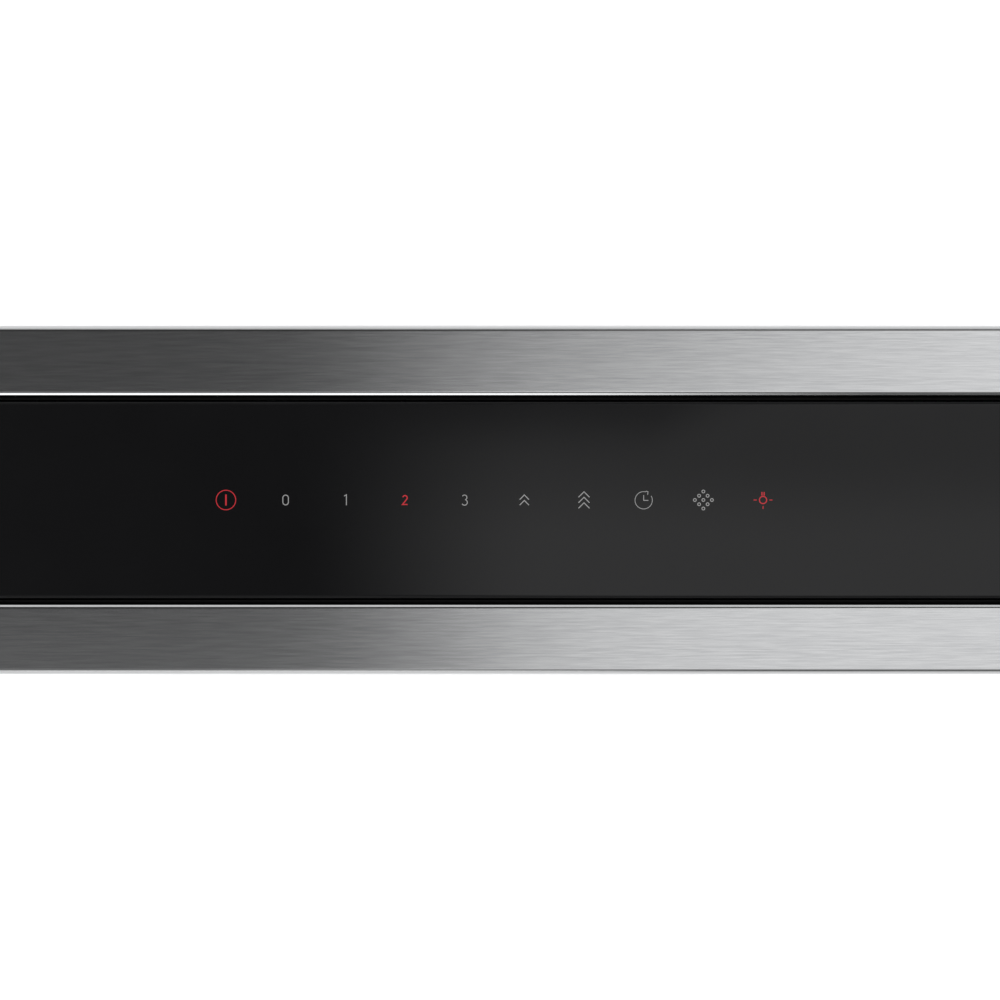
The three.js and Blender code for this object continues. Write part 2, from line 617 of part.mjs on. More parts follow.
function belt() {
  const outline = (radius) => {
    const points = [];
    const steps = 10;
    for (let i = 0; i <= steps; i++) {
      const angle = radians((180 * i) / steps);
      points.push(new THREE.Vector2(SHAFT_Y + radius * Math.cos(angle), IDLER_Z + radius * Math.sin(angle)));
    }
    for (let i = 0; i <= steps; i++) {
      const angle = radians(180 + (180 * i) / steps);
      points.push(new THREE.Vector2(SHAFT_Y + radius * Math.cos(angle), SHAFT_Z + radius * Math.sin(angle)));
    }
    return points;
  };
  const loop = new THREE.Shape(outline(BELT_OUTER));
  loop.holes.push(new THREE.Path(outline(BELT_INNER)));
  return alongX(loop, -BELT_X - BELT_WIDTH / 2, -BELT_X + BELT_WIDTH / 2);
}

const SHAFT_END = INSIDE_X - 3;
function driveShaft() {
  const tip = SHAFT_END;
  const c = 0.6;
  const r = SHAFT_RADIUS;
  const bar = turnedX([[0, -tip], [r - c, -tip], [r, -tip + c], [r, tip - c], [r - c, tip], [0, tip]], 16);
  return moved(bar, 0, SHAFT_Y, SHAFT_Z);
}

// Flanged bearing on the casing's end; its bore carries the shaft's tip.
function shaftBearing() {
  const wall = -INSIDE_X + SEAT;
  const nose = -BELT_X - BELT_WIDTH / 2 - 3.4;
  const bore = SHAFT_RADIUS + RUNNING;
  const floor = -SHAFT_END - 0.5;
  const profile = [[0, wall], [15, wall], [15, wall + 2.4], [9.5, wall + 2.4], [8, nose], [bore, nose], [bore, floor], [0, floor]];
  return moved(turnedX(profile, 12), 0, SHAFT_Y, SHAFT_Z);
}

// Stub axle for the idler, with a retaining head.
function idlerAxle() {
  const wall = -INSIDE_X + SEAT;
  const shoulder = -BELT_X - BELT_WIDTH / 2 - 3.4;
  const head = -BELT_X + BELT_WIDTH / 2 + 2.3;
  const r = SHAFT_RADIUS;
  const profile = [[0, wall], [13, wall], [13, wall + 2.4], [8, wall + 2.4], [7, shoulder], [r, shoulder], [r, head], [r + 2.5, head], [r + 2.5, head + 1.6], [0, head + 1.6]];
  return moved(turnedX(profile, 12), 0, SHAFT_Y, IDLER_Z);
}

const GEAR_INSET = 114; // gearbox from the casing's left end
const GEAR_X0 = -CASING_X + GEAR_INSET;
const GEAR_WIDTH = 40;
const GEAR_BACK_Y = -12;
const GEAR_SUMP = 24; // housing under the motor's axis
const MOTOR_DROP = 30;
const LIFT_MOTOR_RADIUS = 19;
const LIFT_MOTOR_LENGTH = 80;
const LIFT_MOTOR_BOSS = 6;
const BRACKET_SHEET = 2;
const BRACKET_REACH = 30; // bracket past the gearbox, under the motor
const GEAR_FRONT_Y = -INSIDE_Y + 2 * SEAT + BRACKET_SHEET;

// Worm gearbox round the shaft: a rounded housing with the shaft's bore across it.
function liftGearbox() {
  const y = (GEAR_FRONT_Y + GEAR_BACK_Y) / 2;
  const half = (GEAR_BACK_Y - GEAR_FRONT_Y) / 2;
  const low = SHAFT_Z - MOTOR_DROP - GEAR_SUMP;
  const high = SHAFT_Z + SHAFT_RADIUS + 2.6;
  const housing = alongX(roundedShape(y, (low + high) / 2, half, (high - low) / 2, 6), GEAR_X0, GEAR_X0 + GEAR_WIDTH);
  const bore = moved(turnedX([[0, GEAR_X0 - 1], [SHAFT_RADIUS + RUNNING, GEAR_X0 - 1], [SHAFT_RADIUS + RUNNING, GEAR_X0 + GEAR_WIDTH + 1], [0, GEAR_X0 + GEAR_WIDTH + 1]], 16), 0, SHAFT_Y, SHAFT_Z);
  return cut(housing, bore);
}

// Can motor beside the gearbox, with a stepped end bell.
function liftMotor() {
  const face = GEAR_X0 - SEAT;
  const r = LIFT_MOTOR_RADIUS;
  const end = face - LIFT_MOTOR_LENGTH;
  const profile = [
    [0, end - LIFT_MOTOR_BOSS], [5, end - LIFT_MOTOR_BOSS], [5, end], [r - 3, end], [r, end + 4],
    [r, face - 8], [r - 2, face - 8], [r - 2, face], [0, face],
  ];
  return moved(turnedX(profile, 16), 0, (GEAR_FRONT_Y + GEAR_BACK_Y) / 2, SHAFT_Z - MOTOR_DROP - 2);
}

// Angle on the front sheet: upright behind the gearbox and a shelf under it.
function liftBracket() {
  const shelf = SHAFT_Z - MOTOR_DROP - GEAR_SUMP - SEAT - BRACKET_SHEET;
  const y = -INSIDE_Y + SEAT;
  const path = [[GEAR_BACK_Y - 4, shelf], [y, shelf], [y, SHAFT_Z - SHAFT_RADIUS]];
  return alongX(folded(path.reverse(), BRACKET_SHEET), GEAR_X0 - BRACKET_REACH, GEAR_X0 + GEAR_WIDTH + BRACKET_REACH / 2);
}

// ---------- fan ----------
const FAN_Z = FLOOR_TOP + SCROLL_ABOVE_FLOOR + SCROLL_SHEET + scrollRadius(-90);
const TONGUE_REACH = (SCROLL_START + TONGUE_RADIUS) * Math.cos(radians(TONGUE_ANGLE));
const FAN_X = -(TONGUE_REACH + TONGUE_RADIUS + SCROLL_END) / 2;

// The scroll widens steadily, clockwise as seen from the front, from the tongue to the outlet.
function scrollRadius(angle) {
  const turned = (TONGUE_ANGLE - angle + 360) % 360;
  return SCROLL_START + (SCROLL_GROWTH * turned) / SCROLL_TURN;
}

// The air side of the scroll's wall, from the outlet up round the tongue, about the wheel and down again.
function scrollPath() {
  const tongueX = FAN_X + TONGUE_REACH;
  const tongueZ = FAN_Z + (SCROLL_START + TONGUE_RADIUS) * Math.sin(radians(TONGUE_ANGLE));
  const path = [[tongueX + TONGUE_RADIUS, MOUTH_Z]];
  const tongueSteps = 6;
  for (let i = 0; i <= tongueSteps; i++) {
    const angle = radians(((180 + TONGUE_ANGLE) * i) / tongueSteps);
    path.push([tongueX + TONGUE_RADIUS * Math.cos(angle), tongueZ + TONGUE_RADIUS * Math.sin(angle)]);
  }
  const steps = 26;
  for (let i = 1; i <= steps; i++) {
    const turned = (SCROLL_TURN * i) / steps;
    const radius = SCROLL_START + (SCROLL_GROWTH * turned) / SCROLL_TURN;
    const angle = radians(TONGUE_ANGLE - turned);
    path.push([FAN_X + radius * Math.cos(angle), FAN_Z + radius * Math.sin(angle)]);
  }
  path.push([FAN_X + SCROLL_END, MOUTH_Z]);
  return path;
}

function scrollWrap() {
  const half = SCROLL_HALF - SEAT;
  return alongY(folded(scrollPath(), SCROLL_SHEET), -half, half);
}

// Side plate: the scroll's outer outline, an eye, and a flared inlet mouth round it.
function scrollPlate() {
  const outline = folded(scrollPath(), SCROLL_SHEET).getPoints();
  const outer = outline.slice(outline.length / 2);
  const plate = alongY(new THREE.Shape(outer), SCROLL_HALF, SCROLL_HALF + SCROLL_SHEET);
  const eye = turnedY([[0, SCROLL_HALF - 1], [WHEEL_EYE, SCROLL_HALF - 1], [WHEEL_EYE, SCROLL_HALF + 5], [0, SCROLL_HALF + 5]], 24);
  const profile = [];
  const flareSteps = 2;
  for (let i = 0; i <= flareSteps; i++) {
    const angle = radians((90 * i) / flareSteps);
    profile.push([WHEEL_EYE + MOUTH_HEIGHT * (1 - Math.cos(angle)), SCROLL_HALF + MOUTH_HEIGHT * Math.sin(angle)]);
  }
  for (let i = flareSteps; i >= 0; i--) {
    const angle = radians((90 * i) / flareSteps);
    const reach = MOUTH_HEIGHT - SCROLL_SHEET;
    profile.push([WHEEL_EYE + MOUTH_HEIGHT - reach * Math.cos(angle), SCROLL_HALF + reach * Math.sin(angle)]);
  }
  profile.push(profile[0]);
  const mouth = moved(turnedY(profile, 24), FAN_X, 0, FAN_Z);
  return join(cut(plate, moved(eye, FAN_X, 0, FAN_Z)), mouth);
}

// Double-inlet wheel: forward-curved blades on a middle disc, held at both rims by a ring.
function fanWheel() {
  const half = WHEEL_WIDTH / 2;
  const rootRadius = WHEEL_EYE + 2;
  const blade = [];
  const steps = 3;
  const camber = (t) => radians(BLADE_SWEEP * t * t);
  const skin = (t, side) => {
    const radius = rootRadius + (WHEEL_RADIUS - rootRadius) * t;
    const angle = -camber(t);
    const lean = (side * BLADE_THICKNESS) / 2 / radius;
    return new THREE.Vector2(radius * Math.cos(angle + lean), radius * Math.sin(angle + lean));
  };
  for (let i = 0; i <= steps; i++) blade.push(skin(i / steps, -1));
  for (let i = steps; i >= 0; i--) blade.push(skin(i / steps, 1));
  const rimBand = (from, to) => turnedY([
    [WHEEL_RADIUS - 7, from], [WHEEL_RADIUS + 0.6, from], [WHEEL_RADIUS + 0.6, to], [WHEEL_RADIUS - 7, to], [WHEEL_RADIUS - 7, from],
  ], BLADE_COUNT);
  const stubTip = MOTOR_FRONT + 8;
  const disc = turnedY([
    [0, -10], [9, -10], [11, -1], [WHEEL_RADIUS - 2, -1], [WHEEL_RADIUS - 2, 1], [SHAFT_RADIUS, 1],
    [SHAFT_RADIUS, stubTip], [0, stubTip],
  ], BLADE_COUNT);
  const pieces = [rimBand(-half, -half + 2), rimBand(half - 2, half)];
  const oneBlade = alongY(new THREE.Shape(blade), -half + 0.5, half - 0.5);
  for (let i = 0; i < BLADE_COUNT; i++) pieces.push(oneBlade.clone().rotateY((2 * Math.PI * i) / BLADE_COUNT));
  return moved(join(disc, ...pieces), FAN_X, 0, FAN_Z);
}
const MOTOR_FRONT = 4;

// Motor inside the rear half of the wheel: finned can, neck, and a blind bore for the wheel's shaft.
function fanMotor() {
  const back = MOTOR_FRONT + MOTOR_LENGTH;
  const neckEnd = SCROLL_HALF + MOUTH_HEIGHT + 2;
  const bore = SHAFT_RADIUS + RUNNING;
  const can = turnedY([
    [bore, MOTOR_FRONT], [MOTOR_RADIUS - 5, MOTOR_FRONT], [MOTOR_RADIUS, MOTOR_FRONT + 4], [MOTOR_RADIUS, back - 4],
    [MOTOR_RADIUS - 4, back], [MOTOR_NECK, back], [MOTOR_NECK, neckEnd], [0, neckEnd], [0, MOTOR_FRONT + 9], [bore, MOTOR_FRONT + 9],
    [bore, MOTOR_FRONT],
  ], 20);
  return moved(can, FAN_X, 0, FAN_Z);
}

// Three-armed carrier: each arm is a strip cranked over the inlet mouth down to the side plate.
function motorBracket() {
  const hubFace = SCROLL_HALF + MOUTH_HEIGHT + 2 + SEAT;
  const sheet = 2.2;
  const foot = SCROLL_HALF + SCROLL_SHEET + SEAT;
  const rootR = 12;
  const legR = WHEEL_EYE + MOUTH_HEIGHT + 3;
  const path = [[rootR, hubFace], [legR, hubFace], [legR + 2, foot], [legR + 13, foot]];
  const arm = alongZ(folded(path, sheet), -7, 7);
  const hub = turnedY([[0, hubFace], [24, hubFace], [24, hubFace + sheet], [0, hubFace + sheet]], 18);
  const arms = [90, 210, 330].map((angle) => arm.clone().rotateY(radians(angle)));
  return moved(join(hub, ...arms), FAN_X, 0, FAN_Z);
}

// ---------- outlet ----------
const SPIGOT_TOP = FLOOR_TOP + SEAT + DUCT_WALL;
const SPIGOT_BOTTOM = CASING_BOTTOM - SPIGOT_DROP;
const HINGE_Z = CASING_BOTTOM - HINGE_DROP;
const HINGE_Y = BAR_WIDTH / 2 + FLAP_PLAY + HINGE_RADIUS;
const FLAP_TOP = HINGE_Z + HINGE_RADIUS;
const LEDGE_LOW = FLAP_TOP + 0.3;

// Sheet funnel from the scroll's mouth to the flat duct. Its neck takes it under the scroll's belly.
function outletAdapter() {
  const topHalf = (SCROLL_END - TONGUE_REACH - TONGUE_RADIUS) / 2;
  const skin = SCROLL_SHEET;
  const [x, y, corner] = ductHole(-skin);
  const low = SPIGOT_TOP + SEAT;
  const high = MOUTH_Z - SEAT;
  const shoulder = high - ADAPTER_NECK;
  const flange = ADAPTER_FLANGE;
  return ring([
    [topHalf, SCROLL_HALF, 3, high],
    [topHalf, SCROLL_HALF, 3, shoulder],
    [x, y, corner, low + ADAPTER_COLLAR],
    [x, y, corner, low],
    [x + skin, y + skin, corner + skin, low],
    [x + skin, y + skin, corner + skin, low + ADAPTER_COLLAR + 0.8],
    [topHalf + skin, SCROLL_HALF + skin, 3 + skin, shoulder + 0.8],
    [topHalf + skin, SCROLL_HALF + skin, 3 + skin, high - skin],
    [topHalf + flange, SCROLL_HALF + flange, 3 + flange, high - skin],
    [topHalf + flange, SCROLL_HALF + flange, 3 + flange, high],
  ]);
}

// Moulded duct collar: flange on the floor, a ledge that the closed leaves rest against, and holes for their pins.
function outletSpigot() {
  const [x, y, corner] = ductHole(0);
  const w = DUCT_WALL;
  const ledgeHigh = LEDGE_LOW + 2;
  const under = FLOOR_TOP + SEAT;
  const collar = ring([
    [x - w, y - w, corner - w, SPIGOT_TOP],
    [x - w, y - w, corner - w, ledgeHigh],
    [x - w - LEDGE, y - w - LEDGE, corner - w, ledgeHigh],
    [x - w - LEDGE, y - w - LEDGE, corner - w, LEDGE_LOW],
    [x - w, y - w, corner - w, LEDGE_LOW],
    [x - w, y - w, corner - w, SPIGOT_BOTTOM],
    [x, y, corner, SPIGOT_BOTTOM],
    [x, y, corner, under],
    [x + SPIGOT_FLANGE, y + SPIGOT_FLANGE, corner + SPIGOT_FLANGE, under],
    [x + SPIGOT_FLANGE, y + SPIGOT_FLANGE, corner + SPIGOT_FLANGE, SPIGOT_TOP],
  ]);
  const bore = PIN_RADIUS + RUNNING;
  const drill = turnedX([[0, -x - 1], [bore, -x - 1], [bore, x + 1], [0, x + 1]], 8);
  return cut(collar, moved(drill, 0, HINGE_Y, HINGE_Z), moved(drill, 0, -HINGE_Y, HINGE_Z));
}

// Fixed bar across the duct, just under the ledge, that closes the gap between the two leaves.
function damperBar() {
  const high = LEDGE_LOW - SEAT;
  const end = DUCT_WIDTH / 2 - DUCT_WALL - SEAT;
  return alongX(roundedShape(0, high - BAR_HEIGHT / 2, BAR_WIDTH / 2, BAR_HEIGHT / 2, 1), -end, end);
}

// One leaf of the damper: its inner edge is rolled round a pin that sits in the collar's walls.
function flap(side) {
  const tip = DUCT_DEPTH / 2 - DUCT_WALL - 0.8;
  const halfX = DUCT_WIDTH / 2 - DUCT_WALL - 1.2;
  const pinEnd = DUCT_WIDTH / 2 - 0.4;
  const leaf = solidLoft([
    [halfX, (tip - HINGE_Y) / 2, 4, FLAP_TOP - FLAP_SHEET], [halfX, (tip - HINGE_Y) / 2, 4, FLAP_TOP],
  ]).translate(0, (tip + HINGE_Y) / 2, 0);
  const edge = turnedX([
    [0, -pinEnd], [PIN_RADIUS, -pinEnd], [PIN_RADIUS, -halfX], [HINGE_RADIUS, -halfX],
    [HINGE_RADIUS, halfX], [PIN_RADIUS, halfX], [PIN_RADIUS, pinEnd], [0, pinEnd],
  ], 12);
  const whole = join(leaf, moved(edge, 0, HINGE_Y, HINGE_Z));
  return side > 0 ? whole : closed(whole.scale(1, -1, 1));
}

// ---------- control box ----------
const BOX_CENTRE_X = CASING_X - BOX_INSET - BOX_WIDTH / 2;
const BOX_BACK_Y = INSIDE_Y - SEAT;
const BOX_FRONT_Y = BOX_BACK_Y - BOX_DEPTH;
const BOX_LOW = FLOOR_TOP + 24;
function controlBox() {
  const z = BOX_LOW + BOX_HEIGHT / 2;
  const outer = alongY(roundedShape(BOX_CENTRE_X, z, BOX_WIDTH / 2, BOX_HEIGHT / 2, 4), BOX_FRONT_Y, BOX_BACK_Y);
  const inner = roundedShape(BOX_CENTRE_X, z, BOX_WIDTH / 2 - BOX_WALL, BOX_HEIGHT / 2 - BOX_WALL, 3);
  const slots = [];
  for (let i = 0; i < 8; i++) {
    const x = BOX_CENTRE_X - BOX_WIDTH / 2 + 30 + i * 10;
    slots.push(block(x, x + 4, BOX_FRONT_Y + 12, BOX_BACK_Y - 12, BOX_LOW + BOX_HEIGHT - 4, BOX_LOW + BOX_HEIGHT + 4));
  }
  return cut(outer, alongY(inner, BOX_FRONT_Y - 1, BOX_BACK_Y - BOX_WALL), ...slots);
}

function controlBoxCover() {
  const z = BOX_LOW + BOX_HEIGHT / 2;
  const plate = alongY(roundedShape(BOX_CENTRE_X, z, BOX_WIDTH / 2, BOX_HEIGHT / 2, 4), BOX_FRONT_Y - SEAT - 2, BOX_FRONT_Y - SEAT);
  const inside = BOX_WALL + SEAT;
  const plug = alongY(roundedShape(BOX_CENTRE_X, z, BOX_WIDTH / 2 - inside, BOX_HEIGHT / 2 - inside, 3), BOX_FRONT_Y - SEAT - 0.5, BOX_FRONT_Y + 3);
  const hollow = alongY(roundedShape(BOX_CENTRE_X, z, BOX_WIDTH / 2 - inside - 1.5, BOX_HEIGHT / 2 - inside - 1.5, 2), BOX_FRONT_Y - SEAT, BOX_FRONT_Y + 4);
  return cut(join(plate, plug), hollow);
}

// Circuit board on the box's back wall with transformer, capacitors and terminals.
function powerBoard() {
  const z = BOX_LOW + BOX_HEIGHT / 2;
  const back = BOX_BACK_Y - BOX_WALL - SEAT;
  const sheet = 1.6;
  const halfX = BOX_WIDTH / 2 - 12;
  const halfZ = BOX_HEIGHT / 2 - 9;
  const post = 5;
  const front = back - post - sheet;
  const board = alongY(roundedShape(BOX_CENTRE_X, z, halfX, halfZ, 2), front, front + sheet);
  const at = (x, z0, w, h, d) => block(BOX_CENTRE_X + x, BOX_CENTRE_X + x + w, front - d, front + 0.2, z + z0, z + z0 + h);
  const tall = BOX_DEPTH / 2;
  const parts = [
    at(-0.88 * halfX, -0.65 * halfZ, 0.43 * halfX, 0.87 * halfZ, tall),
    at(0.55 * halfX, -0.83 * halfZ, 0.37 * halfX, 0.3 * halfZ, 0.4 * tall),
    at(-0.31 * halfX, -0.78 * halfZ, 0.22 * halfX, 0.52 * halfZ, 0.66 * tall),
  ];
  const can = 0.074 * halfX;
  for (const [sx, sz] of [[-1, -1], [1, -1], [-1, 1], [1, 1]])
    parts.push(moved(turnedY([[0, front + 0.2], [3, front + 0.2], [3, back], [0, back]], 8), BOX_CENTRE_X + sx * (halfX - 6), 0, z + sz * (halfZ - 6)));
  for (let i = 0; i < 3; i++)
    parts.push(moved(turnedY([[0, front - 3 * can], [can, front - 3 * can], [can, front + 0.2], [0, front + 0.2]], 12), BOX_CENTRE_X + can * (1 + 2.75 * i), 0, z + 0.4 * halfZ));
  return join(board, ...parts);
}

// ---------- rising chimney ----------
function topGlass() {
  const e = GLASS_EDGE;
  return solidLoft([
    [CAP_X - e, CAP_Y - e, GLASS_CORNER - e, CAP_UNDER],
    [CAP_X, CAP_Y, GLASS_CORNER, CAP_UNDER + e],
    [CAP_X, CAP_Y, GLASS_CORNER, CAP_TOP - e],
    [CAP_X - e * 0.3, CAP_Y - e * 0.3, GLASS_CORNER - e * 0.3, CAP_TOP - e * 0.3],
    [CAP_X - e, CAP_Y - e, GLASS_CORNER - e, CAP_TOP],
  ]);
}

// Open tray under the glass that holds the touch board.
function topCarrier() {
  const w = CHIMNEY_SHEET;
  return solidLoft([
    [SHELL_X - w, SHELL_Y - w, 1.8, CARRIER_BOTTOM + w],
    [SHELL_X - w, SHELL_Y - w, 1.8, SHELL_TOP],
    [SHELL_X, SHELL_Y, 3, SHELL_TOP],
    [SHELL_X, SHELL_Y, 3, CARRIER_BOTTOM],
  ]);
}

// Touch board on four posts, close under the glass.
function touchBoard() {
  const top = SHELL_TOP - 0.3;
  const sheet = 1.6;
  const board = alongZ(roundedShape(0, 0, BOARD_WIDTH / 2, BOARD_DEPTH / 2, 3), top - sheet, top);
  const floor = CARRIER_BOTTOM + CHIMNEY_SHEET + SEAT;
  const posts = [];
  for (const sx of [-1, 1])
    for (const sy of [-1, 1]) {
      const post = turnedZ([[0, floor], [3, floor], [3, top - sheet + 0.2], [0, top - sheet + 0.2]], 8);
      posts.push(moved(post, sx * (BOARD_WIDTH / 2 - 7), sy * (BOARD_DEPTH / 2 - 7), 0));
    }
  return join(board, ...posts);
}

const LIGHT_X = SHELL_X - LIGHT_INSET;
const LIGHT_Y = -SHELL_Y + 3 + LIGHT_DEPTH / 2;
// Aluminium channel under the tray, open downwards for the diffuser.
function lightBar() {
  const high = CARRIER_BOTTOM - SEAT;
  const low = high - LIGHT_HEIGHT;
  const y0 = LIGHT_Y - LIGHT_DEPTH / 2;
  const y1 = LIGHT_Y + LIGHT_DEPTH / 2;
  const path = [[y0, low], [y0, high], [y1, high], [y1, low]];
  return alongX(folded(path, -1.4), -LIGHT_X, LIGHT_X);
}

function lightDiffuser() {
  const low = CARRIER_BOTTOM - SEAT - LIGHT_HEIGHT;
  const half = LIGHT_DEPTH / 2 - 1.4 - SEAT;
  const points = [];
  const steps = 6;
  for (let i = 0; i <= steps; i++) {
    const angle = radians(180 + (180 * i) / steps);
    points.push(new THREE.Vector2(LIGHT_Y + half * Math.cos(angle), low + 0.8 + 1.6 * Math.sin(angle)));
  }
  points.push(new THREE.Vector2(LIGHT_Y + half, low + 2.4), new THREE.Vector2(LIGHT_Y - half, low + 2.4));
  return alongX(new THREE.Shape(points), -LIGHT_X + 1, LIGHT_X - 1);
}

// Front glass with ground edges, standing on the lower front sheet.
function frontGlass() {
  const e = GLASS_EDGE;
  const halfX = SHELL_X;
  const halfZ = PANEL_HEIGHT / 2;
  const pane = solidLoft([
    [halfX - e, halfZ - e, 2, 0], [halfX, halfZ, 2 + e, e], [halfX, halfZ, 2 + e, PANEL_THICKNESS - e], [halfX - e, halfZ - e, 2, PANEL_THICKNESS],
  ]);
  return pane.applyMatrix4(X_Z_PROFILE).translate(0, PANEL_BACK_Y, PANEL_BOTTOM + halfZ);
}

function chimneyFront() {
  const y = PANEL_BACK_Y - SEAT - CHIMNEY_SHEET;
  const top = PANEL_BOTTOM - SEAT;
  const path = [[-SHELL_Y, CHIMNEY_BOTTOM + 1], [y, CHIMNEY_BOTTOM + 5], [y, top - 6], [-SHELL_Y, top - 2]];
  return alongX(folded(path, -CHIMNEY_SHEET), -SHELL_X, SHELL_X);
}

// Rear sheet with its lower edge turned in, as a stiffener.
function chimneyRear() {
  const high = CARRIER_BOTTOM - SEAT;
  const path = [[SHELL_Y - REAR_HEM, CHIMNEY_BOTTOM], [SHELL_Y, CHIMNEY_BOTTOM], [SHELL_Y, high], [SHELL_Y - REAR_FLANGE, high]];
  return alongX(folded(path, CHIMNEY_SHEET), -SHELL_X, SHELL_X);
}

// Aluminium side profile: web, rear flange, glass rebate in front and a groove for the filter frame.
function chimneySide() {
  const x = -SHELL_X;
  const web = x + PROFILE_WEB;
  const back = SHELL_Y - CHIMNEY_SHEET - SEAT;
  const front = PANEL_BACK_Y + SEAT;
  const wall = 1.8;
  const in0 = x + PROFILE_FLANGE;
  const low = FILTER_BACK_Y + SEAT;
  const groove = low + CHIMNEY_SHEET + 2 * SEAT;
  const points = [
    [x, back], [x, front], [in0, front], [in0, front + wall], [web, front + wall], [web, groove], [in0 - 4, groove], [in0 - 4, groove + wall],
    [web, groove + wall], [web, back - wall], [in0, back - wall], [in0, back],
  ];
  const outline = new THREE.Shape(points.map(([a, b]) => new THREE.Vector2(a, b)));
  return alongZ(outline, CHIMNEY_BOTTOM + 8, CARRIER_BOTTOM - 2 * SEAT - CHIMNEY_SHEET);
}

const FILTER_LOW = PANEL_BOTTOM + 6;
const FILTER_HIGH = CARRIER_BOTTOM - LIGHT_HEIGHT - 4;
const FILTER_SPAN = 2 * (SHELL_X - PROFILE_FLANGE);
const FILTER_WIDTH = (FILTER_SPAN - (FILTER_COUNT - 1) * FILTER_SPACING) / FILTER_COUNT;
const filterX = (i) => (i - (FILTER_COUNT - 1) / 2) * (FILTER_WIDTH + FILTER_SPACING);

// Sheet behind the filters with one window for each, and a sill under them.
function filterFrame() {
  const y = FILTER_BACK_Y + 2 * SEAT;
  const halfX = SHELL_X - PROFILE_WEB - 2 * SEAT;
  const sill = FILTER_LOW - SEAT - CHIMNEY_SHEET;
  const high = CARRIER_BOTTOM - 2 * SEAT;
  const path = [[FILTER_FRONT_Y - FILTER_GAP + 5, sill], [y + CHIMNEY_SHEET, sill], [y + CHIMNEY_SHEET, high]];
  const sheet = alongX(folded(path, CHIMNEY_SHEET), -halfX, halfX);
  const windows = [];
  const z = (FILTER_LOW + FILTER_HIGH) / 2;
  for (let i = 0; i < FILTER_COUNT; i++) {
    const shape = roundedShape(filterX(i), z, FILTER_WIDTH / 2 - FILTER_RIM, (FILTER_HIGH - FILTER_LOW) / 2 - FILTER_RIM, 5);
    windows.push(alongY(shape, y - 1, y + CHIMNEY_SHEET + 1));
  }
  return cut(sheet, ...windows);
}

// Grease filter: rolled frame, recessed mesh pack and a pull.
function greaseFilter(i) {
  const z = (FILTER_LOW + FILTER_HIGH) / 2;
  const halfX = FILTER_WIDTH / 2;
  const halfZ = (FILTER_HIGH - FILTER_LOW) / 2;
  const t = FILTER_THICKNESS;
  const frame = ring([
    [halfX - FILTER_RIM, halfZ - FILTER_RIM, 3, 0], [halfX - 1, halfZ - 1, 3, 0], [halfX, halfZ, 4, 1],
    [halfX, halfZ, 4, t - 1], [halfX - 1, halfZ - 1, 3, t], [halfX - FILTER_RIM, halfZ - FILTER_RIM, 3, t],
  ], 3);
  const pack = alongZ(roundedShape(0, 0, halfX - FILTER_RIM + 1, halfZ - FILTER_RIM + 1, 2), 1.6, t - 1.6);
  const pull = new THREE.Shape([
    new THREE.Vector2(-20, -halfZ + 1), new THREE.Vector2(20, -halfZ + 1), new THREE.Vector2(15, -halfZ + 18), new THREE.Vector2(-15, -halfZ + 18),
  ]);
  const grip = alongZ(pull, t - 0.5, t + 4);
  const finger = alongZ(roundedShape(0, -halfZ + 9, 10, 4, 3.9), t + 0.2, t + 5);
  const filter = cut(join(frame, pack, grip), finger);
  return filter.applyMatrix4(X_Z_PROFILE).translate(filterX(i), FILTER_BACK_Y, z);
}

// ---------- assembly ----------
add('trim_frame', trimFrame(), brushedSteel());
add('frame_gasket', frameGasket(), greyFoam());
add('gap_seal', gapSeal(), blackRubber());
add('casing_front', casingFront(), galvanised());
add('casing_rear', casingRear(), galvanised());
addPair('casing', casingEnd(), galvanised);
add('casing_floor', casingFloor(), galvanised());
add('service_cover', serviceCover(), galvanised());
add('cable_gland', cableGland(), blackPlastic());
addPair('worktop_clamp', worktopClamp(), darkSteel);
addPair('support_leg', supportLeg(), galvanised);
addPair('guide_rail', guideRail(), aluminium);
addPair('belt', belt(), blackRubber);
add('drive_shaft', driveShaft(), darkSteel());
addPair('drive_pulley', pulley(SHAFT_Z), aluminium);
addPair('shaft_bearing', shaftBearing(), blackPlastic);
addPair('idler_axle', idlerAxle(), darkSteel);
addPair('idler_pulley', pulley(IDLER_Z), aluminium);
add('lift_gearbox', liftGearbox(), blackPlastic());
add('lift_motor', liftMotor(), darkSteel());
add('lift_bracket', liftBracket(), galvanised());
add('scroll_wrap', scrollWrap(), galvanised());
add('scroll_rear_plate', scrollPlate(), galvanised());
add('scroll_front_plate', closed(scrollPlate().scale(1, -1, 1)), galvanised());
add('fan_wheel', fanWheel(), galvanised());
add('fan_motor', fanMotor(), darkSteel());
add('motor_bracket', motorBracket(), darkSteel());
add('outlet_adapter', outletAdapter(), galvanised());
add('outlet_spigot', outletSpigot(), blackPlastic());
add('damper_bar', damperBar(), blackPlastic());
add('flap_rear', flap(1), aluminium());
add('flap_front', flap(-1), aluminium());
add('control_box', controlBox(), blackPlastic());
add('control_box_cover', controlBoxCover(), blackPlastic());
add('power_board', powerBoard(), greenBoard());

